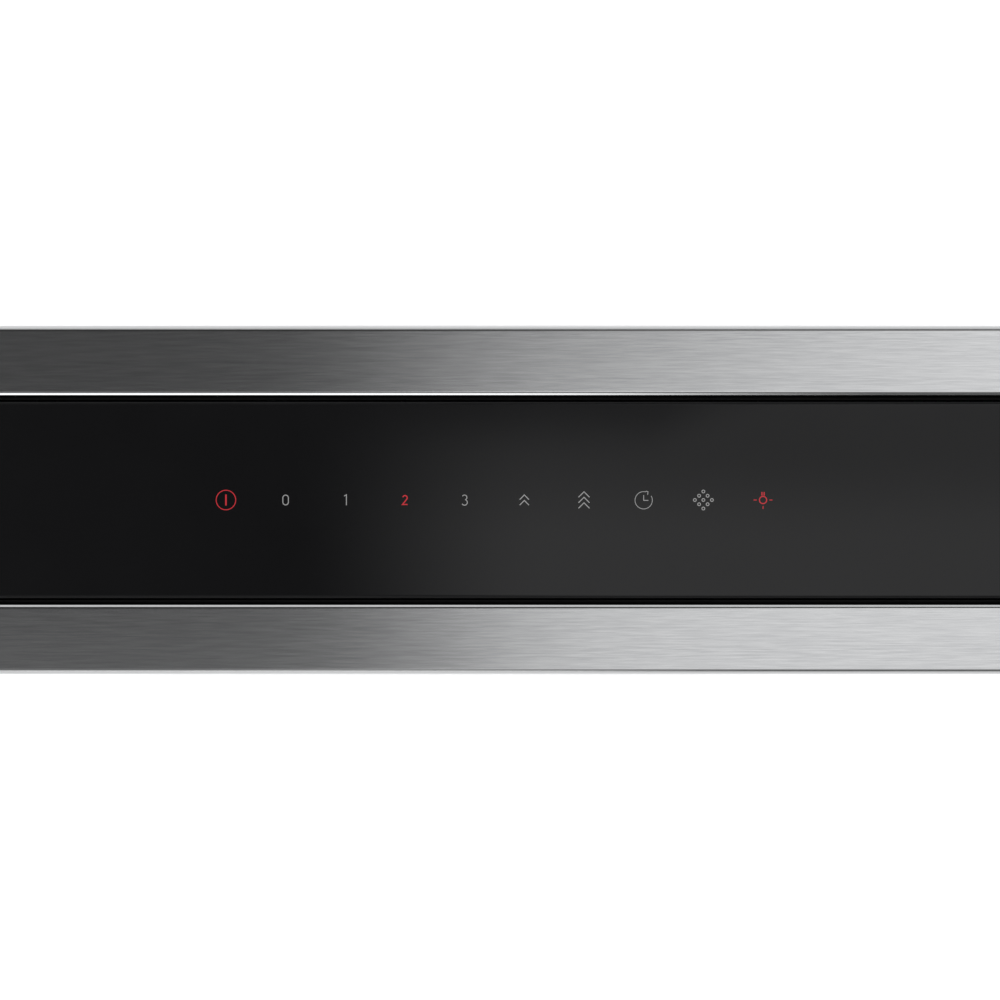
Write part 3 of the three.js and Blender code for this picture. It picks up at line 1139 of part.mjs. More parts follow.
const chimney = new THREE.Group();
add('top_glass', topGlass(), blackGlass(), chimney);
add('top_carrier', topCarrier(), darkSteel(), chimney);
add('touch_board', touchBoard(), greenBoard(), chimney);
add('light_bar', lightBar(), aluminium(), chimney);
add('light_diffuser', lightDiffuser(), opalPlastic(), chimney);
add('front_glass', frontGlass(), blackGlass(), chimney);
add('chimney_front', chimneyFront(), brushedSteel(), chimney);
add('chimney_rear', chimneyRear(), brushedSteel(), chimney);
addPair('chimney', chimneySide(), aluminium, chimney);
add('filter_frame', filterFrame(), galvanised(), chimney);
add('grease_filter_left', greaseFilter(0), aluminium(), chimney);
add('grease_filter_middle', greaseFilter(1), aluminium(), chimney);
add('grease_filter_right', greaseFilter(2), aluminium(), chimney);
addPair('carriage', carriage(), whitePlastic, chimney);
vent.add(chimney);

export default vent;
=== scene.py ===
import json
import math

import bmesh
import bpy
import numpy as np
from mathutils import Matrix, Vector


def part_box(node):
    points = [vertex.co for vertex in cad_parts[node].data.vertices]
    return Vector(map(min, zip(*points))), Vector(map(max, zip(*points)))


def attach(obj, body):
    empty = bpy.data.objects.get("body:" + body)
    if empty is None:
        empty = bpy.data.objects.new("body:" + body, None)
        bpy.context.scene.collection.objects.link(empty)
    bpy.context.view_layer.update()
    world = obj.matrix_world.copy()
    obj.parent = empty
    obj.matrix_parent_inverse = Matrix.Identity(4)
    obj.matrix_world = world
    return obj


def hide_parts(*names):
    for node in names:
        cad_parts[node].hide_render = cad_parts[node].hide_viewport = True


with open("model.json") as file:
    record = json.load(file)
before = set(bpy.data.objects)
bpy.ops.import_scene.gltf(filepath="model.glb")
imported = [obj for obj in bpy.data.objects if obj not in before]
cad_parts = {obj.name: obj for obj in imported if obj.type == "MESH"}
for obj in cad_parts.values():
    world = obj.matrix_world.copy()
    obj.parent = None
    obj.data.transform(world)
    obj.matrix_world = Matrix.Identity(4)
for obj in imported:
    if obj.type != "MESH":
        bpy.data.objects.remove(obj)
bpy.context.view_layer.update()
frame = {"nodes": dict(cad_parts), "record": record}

# ---- sizes, in millimetres, as the solids have them
MM = 0.001
FRAME_HALF = (459.0, 66.5)
FRAME_CORNER = 5.0
FRAME_TOP = 761.0
OPENING_HALF = (414.0, 40.0)
OPENING_CORNER = 3.5
WORKTOP = 757.0
LIP_LOW = WORKTOP - 10.0  # lower edge of the frame's folded inner edge
CAP_HALF = (411.5, 37.5)
CAP_CORNER = 2.4
CAP_TOP = 760.5
CAP_UNDER = 755.5
CASING_HALF = (444.0, 56.5)
CASING_LOW = 80.0
COVER_CENTRE = (30.0, 210.6)
COVER_HALF = (280.0, 100.0)
LEG_OUTSIDE = 447.2
FILTER_Z = (477.3, 724.3)
FILTER_Y = (-20.5, -11.5)
SHAFT = (-38.0, 349.99)
IDLER_HEIGHT = 734.0
BELT_PLACE = 422.8
FAN = (-118.068, 0.0, 201.55)
SYMBOL_PITCH = 22.74
PHOTO_SHIFT = 2.1  # the photo's middle lies this far right of the symbols' middle
PHOTO_WIDTH = 381.0  # how much of the vent's width the photo takes in


# ---- mesh making
def placed(name, mesh, body, slot, stands_for=None):
    """The mesh as an object that rides on a body, instead of the solid that it stands for. slot is not used."""
    piece = bpy.data.objects.new(name, mesh)
    bpy.context.scene.collection.objects.link(piece)
    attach(piece, body)
    if stands_for:
        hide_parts(stands_for)
    return piece


def finished(name, shape, body, material, smooth_angle=30.0, stands_for=None, second=None):
    """A shape (points in millimetres, faces) as a piece in metres, with each closed shell facing outwards, shaded
    smooth up to smooth_angle. second gives another material and the numbers of the faces that take it."""
    mesh = bpy.data.meshes.new(name)
    mesh.from_pydata((shape[0] * MM).tolist(), [], shape[1])
    work = bmesh.new()
    work.from_mesh(mesh)
    bmesh.ops.recalc_face_normals(work, faces=work.faces[:])
    work.to_mesh(mesh)
    work.free()
    mesh.shade_smooth()
    mesh.set_sharp_from_angle(angle=math.radians(smooth_angle))
    mesh.materials.append(material)
    if second:
        mesh.materials.append(second[0])
        index = np.zeros(len(mesh.polygons), dtype=np.int32)
        index[second[1]] = 1
        mesh.polygons.foreach_set("material_index", index)
    placed(name, mesh, body, SLOT_OF_MATERIAL[material], stands_for)


def eased(node_name, width):
    """A solid's own shape with its edges broken: a copy with its doubles merged and its level triangles joined, and
    every edge sharper than 32 degrees rounded over width. It stands for the solid."""
    name, angle = node_name + "_eased", math.radians(32)
    mesh = frame["nodes"][node_name].data.copy()
    mesh.name = name
    work = bmesh.new()
    work.from_mesh(mesh)
    bmesh.ops.remove_doubles(work, verts=work.verts[:], dist=2e-6)
    bmesh.ops.dissolve_limit(work, angle_limit=math.radians(0.5), verts=work.verts[:], edges=work.edges[:])
    work.to_mesh(mesh)
    work.free()
    mesh.shade_smooth()
    mesh.set_sharp_from_angle(angle=angle)
    piece = placed(name, mesh, BODY_OF_NODE[node_name], SLOT_OF_NODE[node_name], node_name)
    bevel = piece.modifiers.new("eased_edges", "BEVEL")
    bevel.width = width * MM
    bevel.segments = 2
    bevel.limit_method = "ANGLE"
    bevel.angle_limit = angle
    bevel.harden_normals = True


def spread(x, y, z):
    """Points from three arrays, spread over one grid."""
    return np.stack(np.broadcast_arrays(x, y, z), axis=-1).reshape(-1, 3)


def grid_faces(rows, columns, closed):
    """Quads between neighbouring points of a grid whose columns run round, and whose rows do too if it is closed."""
    r, c = np.meshgrid(np.arange(rows if closed else rows - 1), np.arange(columns), indexing="ij")
    r2, c2 = (r + 1) % rows, (c + 1) % columns
    quads = np.stack([r * columns + c, r * columns + c2, r2 * columns + c2, r2 * columns + c], axis=-1)
    return quads.reshape(-1, 4).tolist()


def tube_faces(rows, columns, closed=False):
    """The quads of such a grid, and the polygons that fill in its first and its last row unless it is closed."""
    ends = [list(range(columns)), list(range((rows - 1) * columns, rows * columns))]
    return grid_faces(rows, columns, closed) + ([] if closed else ends)


def repeated(faces, times, size):
    """The same faces on each of several equal runs of size points."""
    return [[i + k * size for i in face] for k in range(times) for face in faces]


def together(*shapes):
    """Several (points, faces) as one."""
    faces, offset = [], 0
    for points, own in shapes:
        faces += [[i + offset for i in face] for face in own]
        offset += len(points)
    return np.concatenate([points for points, _ in shapes]), faces


def around(half, corner, section, share=1.0):
    """Level loops (half x, half y, corner radius, z) round a rectangle, one for each (distance outwards, z) of the
    section. The corner radius grows by a share of the distance."""
    return [(half[0] + d, half[1] + d, corner + share * d, z) for d, z in section]


def loft(loops, steps=8, filled=False):
    """Level loops joined in turn: each corner's centre plus its radius times (cos, sin), anticlockwise. They make a
    closed ring, or a block if the first and last loop are filled in."""
    hx, hy, r, z = np.array(loops, float).T[:, :, None, None]
    a = np.linspace(0, math.pi / 2, steps + 1) + np.arange(4)[:, None] * math.pi / 2
    x = np.array([[1], [-1], [-1], [1]]) * (hx - r) + r * np.cos(a)
    y = np.array([[1], [1], [-1], [-1]]) * (hy - r) + r * np.sin(a)
    return spread(x, y, z), tube_faces(len(loops), 4 * (steps + 1), not filled)


def ribbon(path, width, low, high, closed=False):
    """A flat stroke along a path of (x, y): each point moved half a width to both sides along the mitre."""
    p = np.asarray(path, float)
    if closed:
        before, after = p - np.roll(p, 1, axis=0), np.roll(p, -1, axis=0) - p
    else:
        d = np.diff(p, axis=0)
        before, after = np.vstack([d[:1], d]), np.vstack([d, d[-1:]])
    before, after = [v / np.linalg.norm(v, axis=1, keepdims=True) for v in (before, after)]
    mitre = before + after
    mitre = mitre / np.linalg.norm(mitre, axis=1, keepdims=True)
    side = np.column_stack([-mitre[:, 1], mitre[:, 0]])
    reach = (width / 2) / np.clip(np.sum(mitre * after, axis=1), 0.4, 1.0)[:, None]
    left, right = p + side * reach, p - side * reach
    edges = np.stack([right, right, left, left], axis=1)
    return spread(edges[..., 0], edges[..., 1], np.array([low, high, high, low])), tube_faces(len(p), 4, closed)


def turned(profile, centre, axis="z", steps=40, closed=False, side=1):
    """A turned body: each (radius, place on the axis) of the profile swept round the axis through centre, mirrored
    where side is -1. Its ends are filled in, unless the profile closes on itself. With 6 steps it is a hexagon."""
    p = np.asarray(profile, float)
    a = np.linspace(0, 2 * math.pi, steps, endpoint=False)
    across, up = np.outer(p[:, 0], np.cos(a)), np.outer(p[:, 0], np.sin(a))
    along = np.repeat(side * p[:, 1:], steps, axis=1)
    order = {"x": (along, across, up), "y": (across, along, up), "z": (across, up, along)}[axis]
    return spread(*order) + np.asarray(centre, float), tube_faces(len(p), steps, closed)


def thread(radius, depth, pitch, low, high, centre, steps=24):
    """A screw thread along z: the radius falls by depth times a triangle wave of (height / pitch - angle / turn)."""
    z = np.arange(low, high, pitch / 4)[:, None]
    a = np.linspace(0, 2 * math.pi, steps, endpoint=False)
    r = radius - depth * np.abs(((z / pitch - a / (2 * math.pi)) % 1) * 2 - 1)
    return spread(r * np.cos(a), r * np.sin(a), z) + np.asarray(centre, float), tube_faces(len(z), steps)


def pan_head(radius, height, steps=32):
    """A cross-recessed pan head on a polar grid: the height of a flat ellipse, less a cross sunk 1.2 mm."""
    r = radius * np.append(1.0, np.linspace(1.0, 0.1, 9))[:, None]
    a = np.linspace(0, 2 * math.pi, steps, endpoint=False)
    x, y = r * np.cos(a), r * np.sin(a)
    arm, reach = np.minimum(np.abs(x), np.abs(y)), np.maximum(np.abs(x), np.abs(y))
    sunk = np.clip((0.2 * radius - arm) / 0.3, 0, 1) * np.clip((0.6 * radius - reach) / 0.4, 0, 1)
    z = height * np.sqrt(1 - 0.94 * (r / radius) ** 2) - 1.2 * sunk
    z[0] = -0.05
    return spread(x, y, z), tube_faces(len(r), steps)


def screws(name, places, normal, body, radius=3.6):
    """Pan heads on a flat face, all turned a little differently, as a driver leaves them."""
    u = np.eye(3)[0 if normal[2] else 2]
    v = np.cross(normal, u)
    head, faces = pan_head(radius, 0.6 * radius)
    made = []
    for i, place in enumerate(places):
        flat = (head[:, 0] + 1j * head[:, 1]) * np.exp(2.4j * i)
        made.append((place + np.outer(flat.real, u) + np.outer(flat.imag, v) + np.outer(head[:, 2], normal), faces))
    finished(name, together(*made), body, SCREW_ZINC, 50)


# ---- material making
def colour(hex_code):
    """An sRGB hex value as linear red, green, blue and alpha."""
    s = np.array([int(hex_code[i:i + 2], 16) / 255 for i in (1, 3, 5)])
    linear = np.where(s <= 0.04045, s / 12.92, ((s + 0.055) / 1.055) ** 2.4)
    return (*linear.tolist(), 1.0)


def new_material(name):
    made = bpy.data.materials.new(name)
    made.use_nodes = True
    made.node_tree.nodes.clear()
    return made


def node(made, kind, settings=None, *values, output=None, **inputs):
    """Adds a node and gives back one of its outputs, the first unless another is named. settings are its properties,
    or just its operation. values go into its sockets in turn and inputs by name: numbers, or other nodes' outputs."""
    n = made.node_tree.nodes.new("ShaderNode" + kind)
    for key, value in ({"operation": settings} if isinstance(settings, str) else settings or {}).items():
        setattr(n, key, value)
    named = [next(s for s in n.inputs if s.enabled and s.name == key.replace("_", " ")) for key in inputs]
    for socket, value in [*zip(n.inputs, values), *zip(named, inputs.values())]:
        if isinstance(value, bpy.types.NodeSocket):
            made.node_tree.links.new(value, socket)
        else:
            socket.default_value = value
    return n.outputs[output] if output else next((s for s in n.outputs if s.enabled), None)


def surfaced(made, **inputs):
    """Closes a material with one shader of the given values."""
    node(made, "OutputMaterial", Surface=node(made, "BsdfPrincipled", **inputs))
    return made


def in_place(made, size=1000.0, rotation=(0, 0, 0)):
    """The place on a piece, counted in steps of size millimetres: one size, or one each for x, y and z."""
    scale = (1000.0 / np.broadcast_to(size, 3)).tolist()
    place = node(made, "TexCoord", output="Object")
    return node(made, "Mapping", Vector=place, Scale=scale, Rotation=rotation)


def mottle(made, size, detail, rough=0.5, output=None):
    """Soft random specks, the broadest of them size millimetres across, with finer ones as detail and rough give."""
    place = in_place(made, size)
    return node(made, "TexNoise", output=output, Vector=place, Scale=1.0, Detail=detail, Roughness=rough)


def between(made, share, first, second, low=0.0, high=1.0, most=1.0, smooth=False):
    """Runs from first to second, two numbers or two tones, as share goes from low to high, along a straight line or a
    smooth step. most stops it short of the second tone."""
    if isinstance(second, str):
        tones = [colour(tone) if isinstance(tone, str) else tone for tone in (first, second)]
        part = between(made, share, 0.0, most, low, high)
        return node(made, "Mix", {"data_type": "RGBA"}, Factor=part, A=tones[0], B=tones[1])
    kind = {"interpolation_type": "SMOOTHSTEP" if smooth else "LINEAR"}
    return node(made, "MapRange", kind, Value=share, From_Min=low, From_Max=high, To_Min=first, To_Max=second)


def streak(along, length, width):
    """The size of a streak that is long on one axis and fine on the other two."""
    return [length if axis == along else width for axis in "xyz"]


def brushed_stainless(name, along):
    """Stainless sheet ground with a belt along one axis: hair-fine lines a centimetre or two long, which spread a
    reflection across the lines. The lines are drawn 0.6 mm wide, wider than the real ones, so that they show. They
    differ in tone more than in gloss, so that they fade where the sheet mirrors something dark."""
    made = new_material(name)
    lines = mottle(made, streak(along, 14.0, 0.6), 3.0, 0.6)
    drift = mottle(made, streak(along, 350.0, 4.0), 2.0)
    tone = between(made, lines, "#D5D6D8", "#EEEFF0", 0.3, 0.7)
    tone = between(made, drift, tone, "#EEEFF0", 0.35, 0.65, most=0.3)
    bump = node(made, "Bump", Strength=0.01, Distance=0.00004, Height=lines)
    across = node(made, "CombineXYZ", X=float(along != "x"), Y=float(along == "x"), Z=0.0)
    return surfaced(made, Base_Color=tone, Metallic=1.0, Anisotropic=0.7, Tangent=across, Normal=bump,
                    Roughness=between(made, lines, 0.177, 0.183, 0.3, 0.7))


def burnished_stainless(name):
    """The same sheet where a tool has bent or bevelled it: the lines are rubbed flat, so it mirrors more sharply."""
    made = new_material(name)
    rub = mottle(made, streak("x", 125.0, 10 / 3), 3.0)
    return surfaced(made, Base_Color=between(made, rub, "#DCDDDE", "#EAEBEC"), Metallic=1.0,
                    Roughness=between(made, rub, 0.09, 0.14, 0.3, 0.7))


def back_painted_glass(name):
    """Float glass, enamelled black on its back and fired: a deep black under one clear, even reflection, with a
    breath of dust haze that only breaks up the gloss."""
    made = new_material(name)
    haze = mottle(made, 500 / 7, 4.0, 0.55)
    return surfaced(made, Base_Color=between(made, haze, "#131314", "#161617", 0.3, 0.75), IOR=1.4,
                    Roughness=between(made, haze, 0.03, 0.055, 0.3, 0.7))


def ground_glass_edge(name):
    """The same glass where a diamond wheel has rounded its edge: satin, so that it only glows a little, with the
    wheel's fine marks round it."""
    made = new_material(name)
    marks = mottle(made, streak("z", 0.4, 50 / 3), 2.0)
    return surfaced(made, Base_Color=between(made, marks, "#0D0D0E", "#141415"), IOR=1.4, Specular_IOR_Level=0.35,
                    Roughness=between(made, marks, 0.28, 0.4, 0.3, 0.7))


def galvanised_sheet(name):
    """Hot-dip galvanised steel: small zinc crystals, drawn 6 mm across, hardly differing in tone but each with its own
    gloss, under a dull bloom in broad patches and short rolling marks."""
    made = new_material(name)
    wander = mottle(made, 100 / 9, 2.0, output="Color")  # bends the crystals' edges by up to 4 mm
    place = node(made, "VectorMath", "MULTIPLY_ADD", wander, (0.004,) * 3, in_place(made))
    crystals = node(made, "TexVoronoi", output="Color", Vector=place, Scale=1 / 0.006)
    tint = node(made, "SeparateColor", Color=crystals)
    bloom = mottle(made, 200.0, 6.0, 0.6)
    marks = mottle(made, streak("z", 100 / 3, 5 / 6), 2.0)
    tone = between(made, tint, "#A4A8AA", "#B4B8BA")
    tone = between(made, bloom, tone, "#989C9F", 0.4, 0.7, most=0.4)
    rough = node(made, "Math", "ADD", between(made, tint, 0.36, 0.46), between(made, bloom, 0.0, 0.1, 0.35, 0.7))
    bump = node(made, "Bump", Strength=0.12, Distance=0.00006, Height=marks)
    return surfaced(made, Base_Color=tone, Metallic=0.9, Roughness=rough, Normal=bump)


def extruded_aluminium(name, along):
    """Aluminium profile as it leaves the die: pale, with faint drawing lines along its length."""
    made = new_material(name)
    lines = mottle(made, streak(along, 300.0, 0.8), 3.0)
    bump = node(made, "Bump", Strength=0.2, Distance=0.00006, Height=lines)
    return surfaced(made, Base_Color=between(made, lines, "#A6A9AB", "#BCBFC1"), Metallic=1.0, Normal=bump,
                    Roughness=between(made, lines, 0.3, 0.42))


def moulded_plastic(name, light, dark, rough=0.45):
    """Injection-moulded plastic from a spark-eroded tool: a fine even grain that scatters the light."""
    made = new_material(name)
    grain = mottle(made, 0.9, 2.0)
    flow = mottle(made, 1000 / 9, 3.0)
    bump = node(made, "Bump", Strength=0.25, Distance=0.0001, Height=grain)
    return surfaced(made, Base_Color=between(made, flow, dark, light), Normal=bump,
                    Roughness=between(made, grain, rough - 0.06, rough + 0.08))


def turned_steel(name, dark, light):
    """Turned and zinc-plated steel, black or bright: even, with a slight oily bloom."""
    made = new_material(name)
    bloom = mottle(made, 100 / 9, 5.0, 0.6)
    return surfaced(made, Base_Color=between(made, bloom, dark, light, 0.3, 0.7), Metallic=1.0,
                    Roughness=between(made, bloom, 0.36, 0.45, 0.3, 0.7))


def extruded_rubber(name, light, dark, rough):
    """EPDM profile: matt black with a faint grey bloom."""
    made = new_material(name)
    bloom = mottle(made, 25 / 3, 4.0)
    bump = node(made, "Bump", Strength=0.2, Distance=0.0001, Height=bloom)
    return surfaced(made, Base_Color=between(made, bloom, dark, light), Specular_IOR_Level=0.3, Normal=bump,
                    Roughness=between(made, bloom, rough - 0.06, rough + 0.1))


def glowing_symbol(name, hex_code):
    """Screen-printed symbol window that glows evenly, with the print's slight mottle. The red symbols have a lamp
    behind them; on the grey print the glow is painted light, a fixed brightness in place of the light falling on it.
    """
    made = new_material(name)
    dimmer = tuple(0.85 * part for part in colour(hex_code))
    glow = between(made, mottle(made, 10 / 9, 2.0), dimmer, hex_code, 0.3, 0.7)
    return surfaced(made, Base_Color=(0.01, 0.01, 0.01, 1), Roughness=0.3, Emission_Color=glow, Emission_Strength=1.0)


def circuit_laminate(name):
    """Glass-epoxy board under green lacquer, with copper tracks about 1.5 mm apart showing paler through it."""
    made = new_material(name)
    upright = (math.radians(90), 0, 0)
    tracks = node(made, "TexBrick", {"offset": 0.37, "squash": 0.6}, Vector=in_place(made, 50 / 3, upright),
                  Scale=4.0, Mortar_Size=0.06, Color1=colour("#1A5230"), Color2=colour("#1F5E38"),
                  Mortar=colour("#3F8A4C"))
    return surfaced(made, Base_Color=tracks, Roughness=0.32)


def closed_cell_foam(name):
    """Self-adhesive foam strip: matt dark grey and pitted, each pit about 0.6 mm across. The tone follows each pit's
    depth and is darker at its bottom: painted shade.
    """
    made = new_material(name)
    pits_and_pit_shade = node(made, "TexVoronoi", Vector=in_place(made, 0.6), Scale=1.0)
    bump = node(made, "Bump", Strength=0.5, Distance=0.0002, Height=pits_and_pit_shade)
    # the tone darkens towards the bottom of each pit: painted shade in the hollows
    return surfaced(made, Base_Color=between(made, pits_and_pit_shade, "#2A2B2D", "#45474A"), Roughness=0.9, Normal=bump)


def opal_acrylic(name, pitch=15.0):
    """Opal acrylic cover of the lamp strip: milky, softly lit by a diode every 15 mm behind it. They show as a row of
    brighter spots that run into each other: the light rises with the cosine of a full turn for each diode."""
    made = new_material(name)
    turns = node(made, "SeparateXYZ", Vector=in_place(made, (pitch / (2 * math.pi), 1000.0, 1000.0)))
    spots = node(made, "Math", "COSINE", turns)
    return surfaced(made, Base_Color=between(made, mottle(made, 40.0, 2.0), "#E6E8E4", "#F1F2EE"), Roughness=0.35,
                    Emission_Color=colour("#FFF6E4"), Emission_Strength=between(made, spots, 0.12, 0.5, -1.0, 1.0))


STAINLESS_X = brushed_stainless("brushed_stainless_frame", "x")
BENT_STAINLESS = burnished_stainless("burnished_stainless_edge")
STAINLESS_Z = brushed_stainless("brushed_stainless_chimney", "z")
GLASS = back_painted_glass("black_enamelled_glass")
GROUND_GLASS = ground_glass_edge("ground_glass_edge")
ZINC = galvanised_sheet("galvanised_steel_sheet")
PROFILE = extruded_aluminium("extruded_aluminium_z", "z")
PROFILE_X = extruded_aluminium("extruded_aluminium_x", "x")
BLACK_STEEL = turned_steel("black_zinc_steel", "#3E4043", "#4C4F52")
BLACK_ABS = moulded_plastic("moulded_black_abs", "#202123", "#17181A")
ACETAL = moulded_plastic("moulded_white_acetal", "#E4E3DE", "#D6D5CF", 0.38)
RUBBER = extruded_rubber("extruded_epdm_rubber", "#0C0C0D", "#060607", 0.65)
BELT_RUBBER = extruded_rubber("moulded_belt_rubber", "#1B1B1D", "#101011", 0.55)
FOAM = closed_cell_foam("closed_cell_foam")
BOARD = circuit_laminate("lacquered_circuit_laminate")
OPAL = opal_acrylic("opal_acrylic")
LIT_RED = glowing_symbol("red_lit_symbol", "#C02631")
# the grey print glows at a fixed level: a painted glow that stands in for the light falling on the print
GREY_PRINT_PAINTED_GLOW = glowing_symbol("grey_print_painted_glow", "#9C9C9C")
SCREW_ZINC = turned_steel("bright_zinc_screws", "#B4B3AC", "#CFCDC4")
MESH_ALUMINIUM = extruded_aluminium("expanded_aluminium", "x")

MATERIAL_OF_SLOT = {
    "brushed_stainless": STAINLESS_X, "galvanised_sheet": ZINC, "black_glass": GLASS, "aluminium": PROFILE,
    "dark_steel": BLACK_STEEL, "black_plastic": BLACK_ABS, "white_plastic": ACETAL, "opal_plastic": OPAL,
    "black_rubber": RUBBER, "grey_foam": FOAM, "circuit_board": BOARD,
}
SPECIAL_NODES = {
    "chimney_front": STAINLESS_Z, "chimney_rear": STAINLESS_Z, "light_bar": PROFILE_X, "belt_left": BELT_RUBBER,
    "belt_right": BELT_RUBBER,
}
SLOT_OF_MATERIAL = {material: slot for slot, material in MATERIAL_OF_SLOT.items()}
SLOT_OF_MATERIAL |= {LIT_RED: "black_glass", GREY_PRINT_PAINTED_GLOW: "black_glass", SCREW_ZINC: "dark_steel",
                     MESH_ALUMINIUM: "aluminium", BELT_RUBBER: "black_rubber"}
BODY_OF_NODE = {name: body for body, names in frame["record"]["behaviour"]["bodies"].items() for name in names}
SLOT_OF_NODE = {part["node"]: part["material_slot"] for part in frame["record"]["subparts"]}
for part in frame["record"]["subparts"]:
    for place in frame["nodes"][part["node"]].material_slots:
        place.material = SPECIAL_NODES.get(part["node"], MATERIAL_OF_SLOT[part["material_slot"]])


# ---- trim frame, seal and glass cap
def frame_pressing():
    """The trim frame with its outer edge rolled over: a quarter circle of 2.2 mm radius in 12 steps, then down to
    the worktop; the inner edge turns through an arc of 1.9 mm radius into a 25 degree bevel and a lip folded down.
    Narrow level bands beside both keep the strip's own reflection flat."""
    roll, bevel, brow, sheet, band, steps = 2.2, 0.65, 1.9, 1.5, 0.2, 8
    slope = math.radians(25)
    edge = [(0, LIP_LOW), (0, FRAME_TOP - brow * (1 - math.cos(slope)) - bevel * math.tan(slope))]
    edge += [(bevel + brow * (math.sin(slope) - math.sin(a)), FRAME_TOP - brow * (1 - math.cos(a)))
             for a in np.linspace(slope, 0, 7)]
    edge.append((edge[-1][0] + band, FRAME_TOP))
    rim = [(-roll - band, FRAME_TOP)]
    rim += [(-roll * (1 - math.sin(a)), FRAME_TOP - roll * (1 - math.cos(a))) for a in np.linspace(0, math.pi / 2, 13)]
    rim += [(0, WORKTOP), (-sheet, WORKTOP), (-sheet, FRAME_TOP - sheet)]
    under = [(sheet, FRAME_TOP - sheet), (sheet, LIP_LOW)]
    loops = around(OPENING_HALF, OPENING_CORNER, edge) + around(FRAME_HALF, FRAME_CORNER, rim)
    loops += around(OPENING_HALF, OPENING_CORNER, under)
    brushed = range(len(edge) - 2, len(edge) + 1)  # bands of the brushed top; the rest is bevel, roll and folded lip
    points, faces = loft(loops, steps)
    quads = 4 * (steps + 1)
    bent = [i for i in range(len(faces)) if i // quads not in brushed]
    finished("frame_pressing", (points, faces), "casing", STAINLESS_X, 12, "trim_frame", (BENT_STAINLESS, bent))


def seal_lip():
    """The rubber lip in the gap: a foot against the folded edge and a thin, round-tipped blade leaning to the cap."""
    tip = CAP_TOP - 1.6
    section = [(0, LIP_LOW), (0, WORKTOP - 1), (-0.9, tip - 0.45), (-1.3, tip - 0.08), (-1.55, tip),
               (-1.72, tip - 0.12), (-1.8, tip - 0.3), (-1.35, WORKTOP - 1.6), (-0.9, WORKTOP - 3), (-0.9, LIP_LOW)]
    half = (OPENING_HALF[0] - 0.2, OPENING_HALF[1] - 0.2)
    finished("seal_lip", loft(around(half, 3.3, section, 0.5)), "casing", RUBBER, 40, "gap_seal")


def glass_cap():
    """The glass cap: a slab whose upper edge is ground to a quarter ellipse, 1.05 mm across and 0.85 mm deep, in 8
    steps, and whose lower edge is bevelled."""
    edge, drop, bevel, steps = 1.05, 0.85, 0.7, 8
    section = [(-bevel, CAP_UNDER), (0, CAP_UNDER + bevel)]
    section += [(-edge * (1 - math.cos(a)), CAP_TOP - drop * (1 - math.sin(a))) for a in np.linspace(0, math.pi / 2, 9)]
    section.append((-edge - 0.3, CAP_TOP))
    cap = loft(around(CAP_HALF, CAP_CORNER, section), steps, True)
    ground = list(range((len(section) - 2) * 4 * (steps + 1)))  # every band but the level one beside the top face
    finished("glass_cap", cap, "chimney", GLASS, 25, "top_glass", (GROUND_GLASS, ground))


# ---- touch symbols
def arc(cx, cy, radius, start, end, steps):
    """Points on a circle from one angle to another, in degrees."""
    a = np.radians(np.linspace(start, end, steps + 1))
    return np.column_stack([cx + radius * np.cos(a), cy + radius * np.sin(a)])


def ring(cx, cy, radius, width, steps):
    return arc(cx, cy, radius, 0, 360, steps)[:-1], width, True


def chevrons(count, half_width, rise, pitch):
    """Open arrow heads above one another: two slanting strokes that meet at the top."""
    heights = (np.arange(count) - (count - 1) / 2) * pitch
    head = np.array([(-half_width, -rise / 2), (0, rise / 2), (half_width, -rise / 2)])
    return [(head + (0, y), 0.34, False) for y in heights]


def symbol(name, key, material, *strokes):
    """Strokes (path, width, closed) drawn round (0, 0), moved to a key's place on the row, as a 0.03 mm print."""
    x = (key - 4.5) * SYMBOL_PITCH
    low, high = CAP_TOP + 0.004, CAP_TOP + 0.034
    made = [ribbon(np.asarray(path) + (x, 0.0), width, low, high, closed) for path, width, closed in strokes]
    finished(name, together(*made), "chimney", material, 20)


